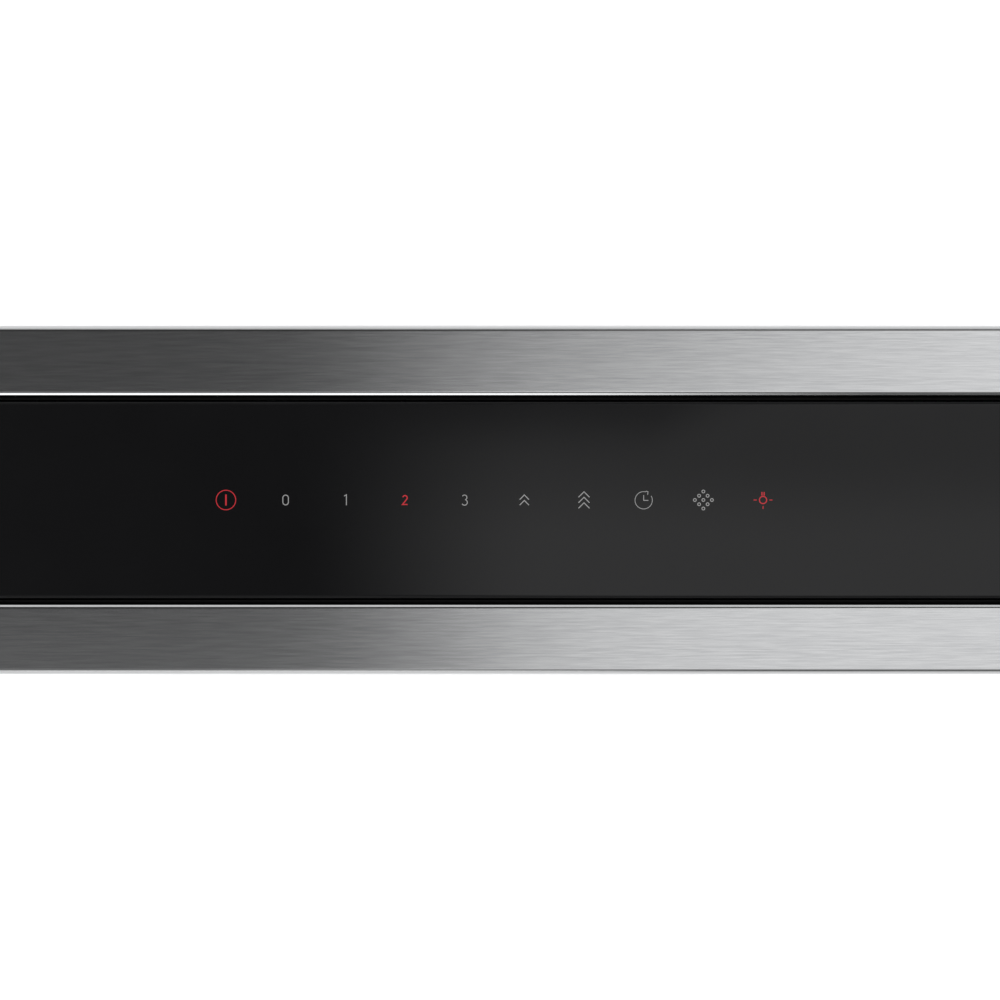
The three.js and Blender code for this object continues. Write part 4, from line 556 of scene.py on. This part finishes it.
def touch_symbols():
    thin = 0.33
    symbol("symbol_power", 0, LIT_RED, ring(0, 0, 3.72, 0.34, 48), ([(0, -2.1), (0, 2.1)], 0.6, False))
    zero = np.concatenate([arc(0, 0.82, 1.05, 0, 180, 12), arc(0, -0.82, 1.05, 180, 360, 12)])
    symbol("symbol_zero", 1, GREY_PRINT_PAINTED_GLOW, (zero, thin, True))
    symbol("symbol_one", 2, GREY_PRINT_PAINTED_GLOW, ([(-0.45, 1.5), (0.42, 2.0), (0.42, -2.0)], thin, False))
    two = np.concatenate([arc(0, 0.84, 0.86, 165, -38, 12), [(-0.95, -1.7), (0.98, -1.7)]])
    symbol("symbol_two", 3, LIT_RED, (two, 0.44, False))
    symbol("symbol_three", 4, GREY_PRINT_PAINTED_GLOW, (arc(-0.05, 0.98, 0.92, 150, -75, 10), thin, False),
           (arc(-0.05, -0.9, 1.08, 78, -150, 12), thin, False))
    symbol("symbol_fast", 5, GREY_PRINT_PAINTED_GLOW, *chevrons(2, 1.75, 1.8, 2.1))
    symbol("symbol_boost", 6, GREY_PRINT_PAINTED_GLOW, *chevrons(3, 2.1, 2.1, 2.1))
    symbol("symbol_timer", 7, GREY_PRINT_PAINTED_GLOW, (arc(0, -0.1, 3.3, 74, 390, 44), 0.24, False),
           ([(0, 1.9), (0, -0.15), (1.8, -0.15)], 0.28, False), ([(0.75, 3.4), (1.65, 3.15), (1.5, 2.0)], 0.27, False))
    nine = [ring(1.62 * (a + b), 1.62 * (a - b), 0.55, 0.3, 18) for a in (-1, 0, 1) for b in (-1, 0, 1)]
    symbol("symbol_filter", 8, GREY_PRINT_PAINTED_GLOW, *nine)
    socket = [([(x, 1.7), (x, 3.05)], 0.46, False) for x in (-0.42, 0.42)]
    rays = [([(-3.6, 0), (-2.4, 0)], 0.34, False), ([(2.4, 0), (3.6, 0)], 0.34, False),
            ([(0, -3.4), (0, -2.3)], 0.34, False)]
    symbol("symbol_lamp", 9, LIT_RED, ring(0, 0, 1.38, 0.4, 28), *socket, *rays)


# ---- casing and what is screwed to it
def stood_up(shape, x, y, z):
    """A level form (x, y, height) stood against the front: height comes forward, and y becomes upright."""
    points, faces = shape
    return np.column_stack([points[:, 0] + x, y - points[:, 2], points[:, 1] + z]), faces


def beaded_sheet(name, side, bead_low, opening=((), ())):
    """The front or rear sheet, folded from one blank. Across it runs a section of flange, bend, web, bend and flange,
    its outer skin and, 1.2 mm behind it, its inner skin. On the web the skins stand out by 2.4 mm times a smooth step
    of (12 - d) / 4, where d is the distance from the middle line of the nearest of four upright beads. Inside an
    opening the quads of both skins are left out, and a rim joins the skins round it."""
    y, bend, wall, rise, flange = CASING_HALF[1], 1.6, 1.2, 2.4, 10
    reach, slope = 12, 4  # half a bead's width, and how much of that is its slope
    top, bead_high = FRAME_TOP - 1.7, FRAME_TOP - 49.5
    beads = (np.arange(4) - 1.5) * CASING_HALF[0] / 2
    x = [[-CASING_HALF[0], CASING_HALF[0]], (beads[:, None] + np.linspace(-13, 13, 27)).ravel(), opening[0]]
    ends = np.linspace(-1, 13, 15)
    z = [[CASING_LOW + bend, top - bend], bead_low + ends, bead_high - ends,
         np.linspace(CASING_LOW + 10, top - 10, 9), opening[1]]
    x, z = [np.unique(np.round(np.concatenate(lines), 3)) for lines in (x, z)]
    quarter = np.linspace(0, math.pi / 2, 5)
    skins = []
    for radius, back in ((bend, 0.0), (bend - wall, wall)):  # (y, z) of the outer skin, then of the inner one
        sine, cosine = radius * np.sin(quarter), radius * np.cos(quarter)
        lower = np.column_stack([y - bend + sine, CASING_LOW + bend - cosine])[:-1]
        upper = np.column_stack([y - bend + cosine, top - bend + sine])[1:]
        web = np.column_stack([np.full(len(z), y - back), z])
        skins.append(np.concatenate([[(y - flange, CASING_LOW + back)], lower, web, upper, [(y - flange, top - back)]]))
    section = np.concatenate([skins[0], skins[1][::-1]])
    count = len(section)
    on_web = np.zeros(count, bool)
    on_web[len(quarter):len(quarter) + len(z)] = True
    on_web |= on_web[::-1]
    aside = np.min(np.abs(x[:, None] - beads), axis=1)[:, None]
    past = np.abs(section[:, 1] - (bead_low + bead_high) / 2) - ((bead_high - bead_low) / 2 - reach)
    share = np.clip((reach - np.hypot(aside, np.maximum(past, 0))) / slope, 0, 1)
    out = section[:, 0] + rise * share * share * (3 - 2 * share) * on_web
    points = spread(x[:, None], side * out, section[:, 1])
    faces = np.array(grid_faces(len(x), count, False))
    rims = np.empty((0, 4), int)
    if len(opening[0]):
        (x0, x1), (z0, z1) = opening
        row, column = faces[:, 0] // count, faces[:, 0] % count
        quad_x = (x[row] + x[row + 1]) / 2
        quad_z = (section[column, 1] + section[(column + 1) % count, 1]) / 2
        faces = faces[(quad_x < x0) | (quad_x > x1) | (quad_z < z0) | (quad_z > z1)]
        r0, r1 = [int(np.argmin(np.abs(x - v))) for v in (x0, x1)]
        c0, c1 = [len(quarter) + int(np.argmin(np.abs(z - v))) for v in (z0, z1)]
        edge = [(r, c0) for r in range(r0, r1)] + [(r1, c) for c in range(c0, c1)]
        edge += [(r, c1) for r in range(r1, r0, -1)] + [(r0, c) for c in range(c1, c0, -1)]
        r, c = np.array(edge).T
        outer, inner = r * count + c, r * count + count - 1 - c
        rims = np.column_stack([outer, np.roll(outer, -1), np.roll(inner, -1), inner])
    c = np.arange(count // 2 - 1)
    cut = np.column_stack([c, c + 1, count - 2 - c, count - 1 - c])  # the sheet's edge at its left and right end
    faces = np.concatenate([faces, rims, cut, cut + (len(x) - 1) * count]).tolist()
    finished(name, (points, faces), "casing", ZINC, 40, name.replace("beaded", "casing"))


def service_pan():
    """The service cover: a flat rim, a sloping wall and a raised field, with every bend rounded over three steps. The
    section is (distance past the opening's edge, height), and its corner radius grows with the distance."""
    section = [(-14.2, 3.0), (-13.0, 2.95), (-12.2, 2.75), (-1.8, 0.12), (-1.0, 0.0), (13.6, 0.0), (14.0, 0.3),
               (14.0, 0.9), (13.7, 1.2), (0.8, 1.2), (0.0, 1.3), (-0.8, 1.5), (-12.6, 3.9), (-13.5, 4.12),
               (-14.6, 4.2), (-15.4, 4.2)]
    pan = loft(around(COVER_HALF, 12.7, section, 0.25), 8, True)
    front = -CASING_HALF[1]
    pan = stood_up(pan, COVER_CENTRE[0], front - 0.2, COVER_CENTRE[1])
    finished("service_pan", pan, "casing", ZINC, 40, "service_cover")
    x, z = COVER_HALF[0] + 7.5, COVER_HALF[1] + 7.5
    spots = [(a, b) for a in (-1, -0.33, 0.33, 1) for b in (-1, 1)] + [(-1, 0), (1, 0)]
    places = [(COVER_CENTRE[0] + a * x, front - 1.4, COVER_CENTRE[1] + b * z) for a, b in spots]
    screws("service_pan_screws", places, (0, -1, 0), "casing")


def casing_screws():
    """Rows of pan heads down the casing's corners, where the front and rear sheets are screwed to the ends."""
    for name, side in (("front", -1), ("rear", 1)):
        places = [(a * (CASING_HALF[0] - 7), side * CASING_HALF[1], z) for a in (-1, 1)
                  for z in np.linspace(CASING_LOW + 26, WORKTOP - 34, 6)]
        screws("casing_" + name + "_screws", places, (0, side, 0), "casing")
    places = [(x, side * (CASING_HALF[1] - 5), CASING_LOW) for side in (-1, 1)
              for x in (-150, -300, -420, 150, 300, 420)]
    screws("casing_floor_screws", places, (0, 0, -1), "casing")


def leg_bolts():
    """Flanged hexagon bolts with washers through the slots of the legs, two to a slot."""
    washer = [(8, 0), (8, 1.3), (7.7, 1.6), (4, 1.6)]
    head = [(6.3, 1.6), (6.3, 5.4), (5.5, 6.2)]
    made = [turned(profile, (side * (LEG_OUTSIDE + 0.1), y, z), "x", steps, side=side) for side in (-1, 1)
            for y in (-24, 24) for z in (104, 148) for profile, steps in ((washer, 32), (head, 6))]
    finished("leg_bolts", together(*made), "casing", SCREW_ZINC)


def clamp_screws():
    """The jack screws of the worktop clamps, 7 mm thick with a 1 mm thread, a pad at the top and a hexagon below; and
    the two screws that hold each clamp."""
    made = []
    for side in (-1, 1):
        middle = (side * 452.1, 0, 0)
        made += [thread(3.5, 0.4, 1.0, 678.0, 714.5, middle),
                 turned([(5.2, 676), (5.8, 676.8), (5.8, 680.6), (5.2, 681.4)], middle, "z", 6),
                 turned([(4.6, 714.9), (6.0, 715.4), (6.0, 717.0), (5.4, 717.6)], middle, "z", 32)]
    finished("clamp_jack_screws", together(*made), "casing", SCREW_ZINC, 40)
    for name, side in (("left", -1), ("right", 1)):
        screws("clamp_" + name + "_screws", [(side * 446.2, y, 722.0) for y in (-10, 10)], (side, 0, 0), "casing", 3.2)


def gland():
    """Cable gland: slotted dome nut under the floor and a hexagon lock nut above, with its bore open."""
    middle, under = (270.0, 18.0, 0.0), 81.2
    dome = [(4.2, under - 16), (6.0, under - 16), (7.2, under - 15), (8.8, under - 11.5), (10.6, under - 7),
            (11.0, under - 5.5), (11.0, under), (8.0, under), (8.0, 91.0), (7.6, 91.4), (4.2, 91.4)]
    nut = [(8.0, 83.0), (11.4, 83.0), (12.6, 83.6), (12.6, 86.2), (11.4, 86.8), (8.0, 86.8)]
    both = together(turned(dome, middle, closed=True), turned(nut, middle, steps=6, closed=True))
    finished("gland_body", both, "casing", BLACK_ABS, 35, "cable_gland")


def spigot_ribs():
    """Three low ribs round the outlet, each a half ellipse 1 mm proud and 3 mm high, that hold a duct pushed on."""
    turn = np.linspace(-math.pi / 2, math.pi / 2, 9)
    ribs = [loft(around((111, 44.5), 6, [(math.cos(a), z + 1.5 * math.sin(a)) for a in turn]), 6) for z in (27, 35, 43)]
    finished("spigot_ribs", together(*ribs), "casing", BLACK_ABS)


# ---- chimney
def expanded_mesh(x0, x1, z0, z1, y, pitch=6.0, length=12.0, width=0.95, thick=0.55):
    """Expanded sheet: upright strands side by side, each a triangle wave in x that meets its two neighbours in turn,
    one in front of the nodes and one behind, so that the nodes stand askew."""
    strand = np.arange(int((x1 - x0) / pitch))[:, None]
    z = np.arange(z0, z1 + 1e-6, length / 4)
    wave = np.where(strand % 2 == 0, 1, -1) * (np.abs(((z - z0) / length) % 1 * 2 - 1) - 0.5)
    x = x0 + (strand + 0.5 + wave) * pitch
    corners = [(-width / 2, -thick / 2), (width / 2, -thick / 2), (width / 2, thick / 2), (-width / 2, thick / 2)]
    a, b = np.array(corners).T
    points = spread(x[..., None] + a, y + 0.25 * wave[..., None] + b, z[:, None])
    return points, repeated(tube_faces(len(z), 4), len(strand), len(z) * 4)


def filter_meshes():
    """Both faces of each grease filter: expanded aluminium in the recess of the rolled frame."""
    border, depth = 9.4, 0.9
    z0, z1 = FILTER_Z[0] + border, FILTER_Z[1] - border
    for name in ("left", "middle", "right"):
        low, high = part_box("grease_filter_" + name)
        x0, x1 = low[0] / MM + border, high[0] / MM - border
        both = [expanded_mesh(x0, x1, z0, z1, y) for y in (FILTER_Y[0] + depth, FILTER_Y[1] - depth)]
        finished("filter_mesh_" + name, together(*both), "chimney", MESH_ALUMINIUM)


def chimney_screws():
    """Screws that hold the rear sheet of the chimney, and those of its lower front sheet."""
    rear = [(x, 35.5, z) for x in (-396, -198, 0, 198, 396) for z in (372, 726)]
    screws("chimney_rear_screws", rear, (0, 1, 0), "chimney", 2.8)
    front = [(x, -35.5, z) for x in (-396, 396) for z in (376, 452)]
    screws("chimney_front_screws", front, (0, -1, 0), "chimney", 2.8)


# ---- lift drive
def toothed_belt(name, side, half=7, run=64):
    """The belt's loop in tooth pitches: 7 round the idler, 64 down, 7 round the drive pulley and 64 up. The outer skin
    lies 14.85 mm from the pulleys' middles, the inner one 13.35 mm, less 1.15 mm on each tooth. The pulleys turn and
    the belt stays, so the teeth that would lie in their grooves are left out."""
    first, second, third, whole = half, half + run, 2 * half + run, 2 * (half + run)
    u = (np.arange(whole)[:, None] + np.array([0.06, 0.15, 0.35, 0.44])).ravel()
    tooth = np.tile([0.0, 1.15, 1.15, 0.0], whole)
    tooth[(u < first + 1) | (u > whole - 1) | ((u > second - 1) & (u < third + 1))] = 0.0
    drop = (IDLER_HEIGHT - SHAFT[1]) / run
    parts = [u < first, u < second, u < third]
    angle = np.radians(np.select(parts, [u / half * 180, 180.0, 180 + (u - second) / half * 180], 0.0))[:, None]
    z = np.select(parts, [IDLER_HEIGHT, IDLER_HEIGHT - (u - first) * drop, SHAFT[1]], SHAFT[1] + (u - third) * drop)
    x = side * BELT_PLACE + np.array([-4.5, 4.5, 4.5, -4.5])
    reach = np.column_stack([np.full((len(u), 2), 14.85), 13.35 - tooth, 13.35 - tooth])
    y, z = SHAFT[0] + reach * np.cos(angle), z[:, None] + reach * np.sin(angle)
    shape = spread(x, y, z), grid_faces(len(u), 4, True)
    finished("toothed_belt_" + name, shape, "casing", BELT_RUBBER, 25, "belt_" + name)


def drive_parts():
    """The shaft with broken ends, the flanged bearings and idler axles, and the lift motor with its crimped can."""
    shaft = [(3.4, -439.8), (4.0, -439.2), (4.0, 439.2), (3.4, 439.8)]
    finished("round_shaft", turned(shaft, (0, *SHAFT), "x", 32), "drive", BLACK_STEEL, 30, "drive_shaft")
    bearing = [(14.6, 442.6), (15.0, 442.2), (15.0, 440.6), (14.6, 440.2), (9.8, 440.2), (9.3, 439.8), (8.1, 430.9),
               (7.9, 430.7), (4.35, 430.7), (4.35, 440.3)]
    axle = [(12.6, 442.6), (13.0, 442.2), (13.0, 440.6), (12.6, 440.2), (8.4, 440.2), (8.0, 439.8), (7.1, 430.9),
            (6.9, 430.7), (4.0, 430.7), (4.0, 416.0), (6.1, 416.0), (6.5, 415.6), (6.5, 414.8), (6.1, 414.4)]
    for name, side in (("left", -1), ("right", 1)):
        shape = turned(bearing, (0, *SHAFT), "x", 36, side=side)
        finished("bearing_" + name, shape, "casing", BLACK_ABS, 35, "shaft_bearing_" + name)
        shape = turned(axle, (0, SHAFT[0], IDLER_HEIGHT), "x", 36, side=side)
        finished("axle_" + name, shape, "casing", BLACK_STEEL, 35, "idler_axle_" + name)
    low, high = np.array(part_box("lift_motor")) / MM
    face = high[0] - low[0]
    can = [(4.4, 0), (5.0, 0.5), (5.0, 6), (14.6, 6), (16.0, 6.4), (18.4, 8.6), (19.0, 10.4), (19.0, 15), (18.5, 15.5),
           (18.5, 17), (19.0, 17.5), (19.0, face - 8.6), (18.6, face - 8), (17.2, face - 8), (17.0, face - 7.8),
           (17.0, face)]
    shape = turned(can, (low[0], *(low + high)[1:] / 2), "x", 48)
    finished("motor_can", shape, "casing", BLACK_STEEL, 30, "lift_motor")


# ---- fan
def bladed_wheel(blades=28):
    """The double-inlet wheel: 28 blades on a middle disc. A blade leans forward by 17 degrees times the square of its
    share of the way from root to tip, is thickest in the middle and has round ends; it is carried round the axis."""
    t = np.linspace(0, 1, 9)
    radius = 74 + 16 * t
    lean = (0.35 + 0.35 * np.sin(math.pi * t)) / radius
    sweep = -np.radians(17 * t ** 2)
    r = np.concatenate([radius, radius[::-1]])
    turn = np.linspace(0, 2 * math.pi, blades, endpoint=False)[:, None, None]
    a = np.concatenate([sweep - lean, (sweep + lean)[::-1]]) + turn
    width = np.array([-30.5, 30.5])[:, None]
    points = spread(r * np.cos(a), width, r * np.sin(a)) + FAN
    made = [(points, repeated(tube_faces(2, len(r)), blades, 2 * len(r)))]
    band = [(83.0, 29.2), (83.6, 28.9), (90.2, 28.9), (90.6, 29.3), (90.6, 30.6), (90.2, 31.0), (83.6, 31.0),
            (83.0, 30.7)]
    made += [turned(band, FAN, "y", 96, True, side) for side in (-1, 1)]
    disc = [(8.6, -10.0), (9.2, -9.4), (10.6, -2.4), (12.0, -1.2), (30, -1.0), (34, -2.6), (60, -2.6), (64, -1.0),
            (88, -1.0), (88, 1.0), (64, 1.0), (60, -0.6), (34, -0.6), (30, 1.0), (4.0, 1.0), (4.0, 11.6), (3.6, 12.0)]
    made.append(turned(disc, FAN, "y", 96))
    finished("bladed_wheel", together(*made), "fan", ZINC, 35, "fan_wheel")


def ribbed_motor():
    """The fan motor: a can with cooling ribs turned into its side, and the neck that the carrier holds."""
    ribs = [(36.0 - 1.6 * (i % 2), 9.0 + 0.9 * i + 0.45 * j) for i in range(17) for j in (0, 1)]
    profile = [(4.35, 12.9), (4.35, 4.2), (4.6, 4.0), (30.6, 4.0), (32.0, 4.4), (35.2, 6.6), (36.0, 8.2), *ribs,
               (36.0, 24.8), (35.4, 26.4), (33.2, 29.2), (31.8, 30.0), (15.4, 30.0), (15.0, 30.4), (15.0, 44.6),
               (14.6, 45.0)]
    finished("ribbed_motor", turned(profile, FAN, "y", 64), "casing", BLACK_STEEL, 30, "fan_motor")


EDGE_WIDTHS = {  # how broadly the edges of the other solids are broken, in millimetres
    0.15: "drive_pulley_left drive_pulley_right idler_pulley_left idler_pulley_right",
    0.2: "damper_bar scroll_rear_plate scroll_front_plate power_board touch_board",
    0.25: "flap_rear flap_front front_glass scroll_wrap",
    0.3: "casing_floor outlet_adapter chimney_front chimney_left chimney_right light_bar filter_frame",
    0.35: "casing_left casing_right chimney_rear grease_filter_left grease_filter_middle grease_filter_right "
          "guide_rail_left guide_rail_right",
    0.4: "top_carrier lift_bracket motor_bracket control_box_cover carriage_left carriage_right",
    0.45: "outlet_spigot",
    0.5: "worktop_clamp_left worktop_clamp_right control_box",
    0.8: "support_leg_left support_leg_right lift_gearbox",
}

frame_pressing()
seal_lip()
glass_cap()
touch_symbols()
beaded_sheet("beaded_rear", 1, 130.6)
beaded_sheet("beaded_front", -1, 348.6, ((-250.0, 310.0), (110.6, 310.6)))
service_pan()
casing_screws()
leg_bolts()
clamp_screws()
gland()
spigot_ribs()
filter_meshes()
chimney_screws()
toothed_belt("left", -1)
toothed_belt("right", 1)
drive_parts()
bladed_wheel()
ribbed_motor()
for broken, node_names in EDGE_WIDTHS.items():
    for node_name in node_names.split():
        eased(node_name, broken)


# ---- floor, lamps and camera
LENS, FILM = 400, 36
CAMERA_HEIGHT = PHOTO_WIDTH * MM * LENS / FILM  # metres above the frame, like the next
CARD_HEIGHT = 1.1
CARD_SCALE = 1 + CARD_HEIGHT / CAMERA_HEIGHT  # millimetres on the card that are mirrored in one on the vent
DARK_CLOTH = 0.03


def stage_plane(name, half, height, material):
    corners = [(x * half, y * half, height) for x, y in ((-1, -1), (1, -1), (1, 1), (-1, 1))]
    mesh = bpy.data.meshes.new(name)
    mesh.from_pydata(corners, [], [(0, 1, 2, 3)])
    mesh.materials.append(material)
    plane = bpy.data.objects.new(name, mesh)
    bpy.context.scene.collection.objects.link(plane)
    return plane


def studio_floor():
    """Pale matt floor. What the camera sees is lifted to white, less so under the vent, where the photo doesn't look,
    so that the shadow there stays."""
    made = new_material("pale_studio_floor")
    spot = node(made, "SeparateXYZ", Vector=in_place(made))
    sides = []
    for axis, near, far in (("X", 0.40, 0.56), ("Y", 0.02, 0.085)):
        size = node(made, "Math", "ABSOLUTE", spot.node.outputs[axis])
        sides.append(between(made, size, 0.0, 1.0, near, far, smooth=True))
    clear = node(made, "Math", "MAXIMUM", *sides)
    ray = node(made, "LightPath").node.outputs
    lift = between(made, ray["Is Camera Ray"], 0.0, between(made, clear, 0.15, 0.62))
    lift = node(made, "Math", "MULTIPLY_ADD", ray["Is Glossy Ray"], 0.15, lift)
    matt = node(made, "BsdfDiffuse", Color=colour("#E6E6E6"))
    glow = node(made, "Emission", Color=(1, 1, 1, 1), Strength=lift)
    node(made, "OutputMaterial", Surface=node(made, "AddShader", None, matt, glow))
    stage_plane("studio_floor", 9.0, -0.0005, made)


def overhead_card():
    """A big soft light overhead with graded cloth. Over the glass it is dark on the left, with a soft edge, and a
    softer one leans over the back. Over the steel the grading leans the other way and is wider behind than in front.
    Between 0.32 m and 1 m to the front and back it is dark, which draws the fine line along the rolled rims, and
    beyond that bright, less so in front on the right. Only reflections see the grading: all else gets even light."""
    made = new_material("overhead_softbox")
    x = node(made, "SeparateXYZ", Vector=in_place(made, CARD_SCALE))  # in millimetres on the vent
    y = x.node.outputs["Y"]

    def graded(place, low, high, first, second):
        return between(made, place, first, second, low, high, smooth=True)

    leaning = node(made, "Math", "MINIMUM", node(made, "Math", "MULTIPLY_ADD", x, -0.45, 27.0), 0.0)
    leaning = node(made, "Math", "ADD", y, leaning)
    softer = node(made, "Math", "MULTIPLY", graded(y, -16, 18, 1.0, 0.67), graded(leaning, 14, 38, 1.0, 0.33))
    over_glass = graded(x, -78, 22, 0.0, softer)
    half = node(made, "Math", "MAXIMUM", node(made, "Math", "ADD", y, 97.0), 30.0)
    left, right = [node(made, "Math", way, 50.0, half) for way in ("SUBTRACT", "ADD")]
    slanting = node(made, "Math", "MULTIPLY_ADD", y, -0.526, x)
    dark = node(made, "Math", "MULTIPLY_ADD", y, -0.0006, 0.072)
    bright = node(made, "Math", "MULTIPLY_ADD", y, 0.0015, 1.0)
    over_steel = graded(slanting, left, right, dark, bright)
    aside = node(made, "Math", "ABSOLUTE", y)
    near = between(made, graded(aside, 40, 50, over_glass, over_steel), DARK_CLOTH, 0.92)
    band = graded(aside, 260, 330, near, graded(y, -50, 50, 0.15, 0.04))
    front = graded(aside, 1080, 1160, graded(x, 0, 120, 1.5, 0.1), 0.7)
    pattern = graded(aside, 770, 850, band, graded(y, -50, 50, front, 0.7))
    even = node(made, "LightPath", output="Is Diffuse Ray")
    glow = node(made, "Emission", Color=(1, 1, 1, 1), Strength=between(made, even, pattern, 0.8))
    node(made, "OutputMaterial", Surface=glow)
    card = stage_plane("overhead_softbox", 1.6, FRAME_TOP * MM + CARD_HEIGHT, made)
    card.visible_camera = False
    card.visible_shadow = False


def soft_lamp(name, place, power):
    """A square lamp, 1.6 m wide, that faces the middle of the vent."""
    light = bpy.data.lights.new(name, "AREA")
    light.shape = "SQUARE"
    light.size = 1.6
    light.energy = power
    lamp = bpy.data.objects.new(name, light)
    lamp.location = place
    x, y, z = np.array((0, 0, 0.4)) - place
    lamp.rotation_euler = (math.atan2(math.hypot(x, y), -z), 0, math.atan2(x, -y) + math.pi)
    bpy.context.scene.collection.objects.link(lamp)
    lamp.visible_glossy = False


def sky():
    """White as seen by the camera. In gloss it is nearly white at the horizon, greyer overhead and towards the right.
    For the rest it is an even pale light."""
    world = bpy.data.worlds.new("studio")
    bpy.context.scene.world = world
    world.use_nodes = True
    world.node_tree.nodes.clear()
    way = node(world, "SeparateXYZ", Vector=node(world, "TexCoord", output="Generated"))
    fall = between(world, way.node.outputs["Z"], 0.95, 0.4, 0.1, 0.8, smooth=True)
    side = between(world, way, 1.0, 0.7, -0.7, 0.7, smooth=True)
    gloss = node(world, "Math", "MULTIPLY", fall, side)
    ray = node(world, "LightPath").node.outputs
    strength = between(world, ray["Is Camera Ray"], between(world, ray["Is Glossy Ray"], 0.62, gloss), 1.0)
    back = node(world, "Background", Color=(1, 1, 1, 1), Strength=strength)
    node(world, "OutputWorld", Surface=back)


def photo_camera():
    """Straight above, through a long lens, with the back of the vent at the top of the picture."""
    data = bpy.data.cameras.new("camera")
    data.type = "PERSP"
    data.lens = LENS
    data.sensor_width = FILM
    data.clip_end = 60
    camera = bpy.data.objects.new("camera", data)
    camera.location = (PHOTO_SHIFT * MM, 0, FRAME_TOP * MM + CAMERA_HEIGHT)
    bpy.context.scene.collection.objects.link(camera)
    bpy.context.scene.camera = camera


photo_camera()
studio_floor()
overhead_card()
sky()
soft_lamp("front_left_lamp", (-2.4, -2.8, 1.9), 60)
soft_lamp("front_right_lamp", (2.8, -2.2, 1.2), 30)
soft_lamp("back_lamp", (1.6, 3.0, 1.8), 45)
bpy.context.scene.view_settings.view_transform = "Standard"
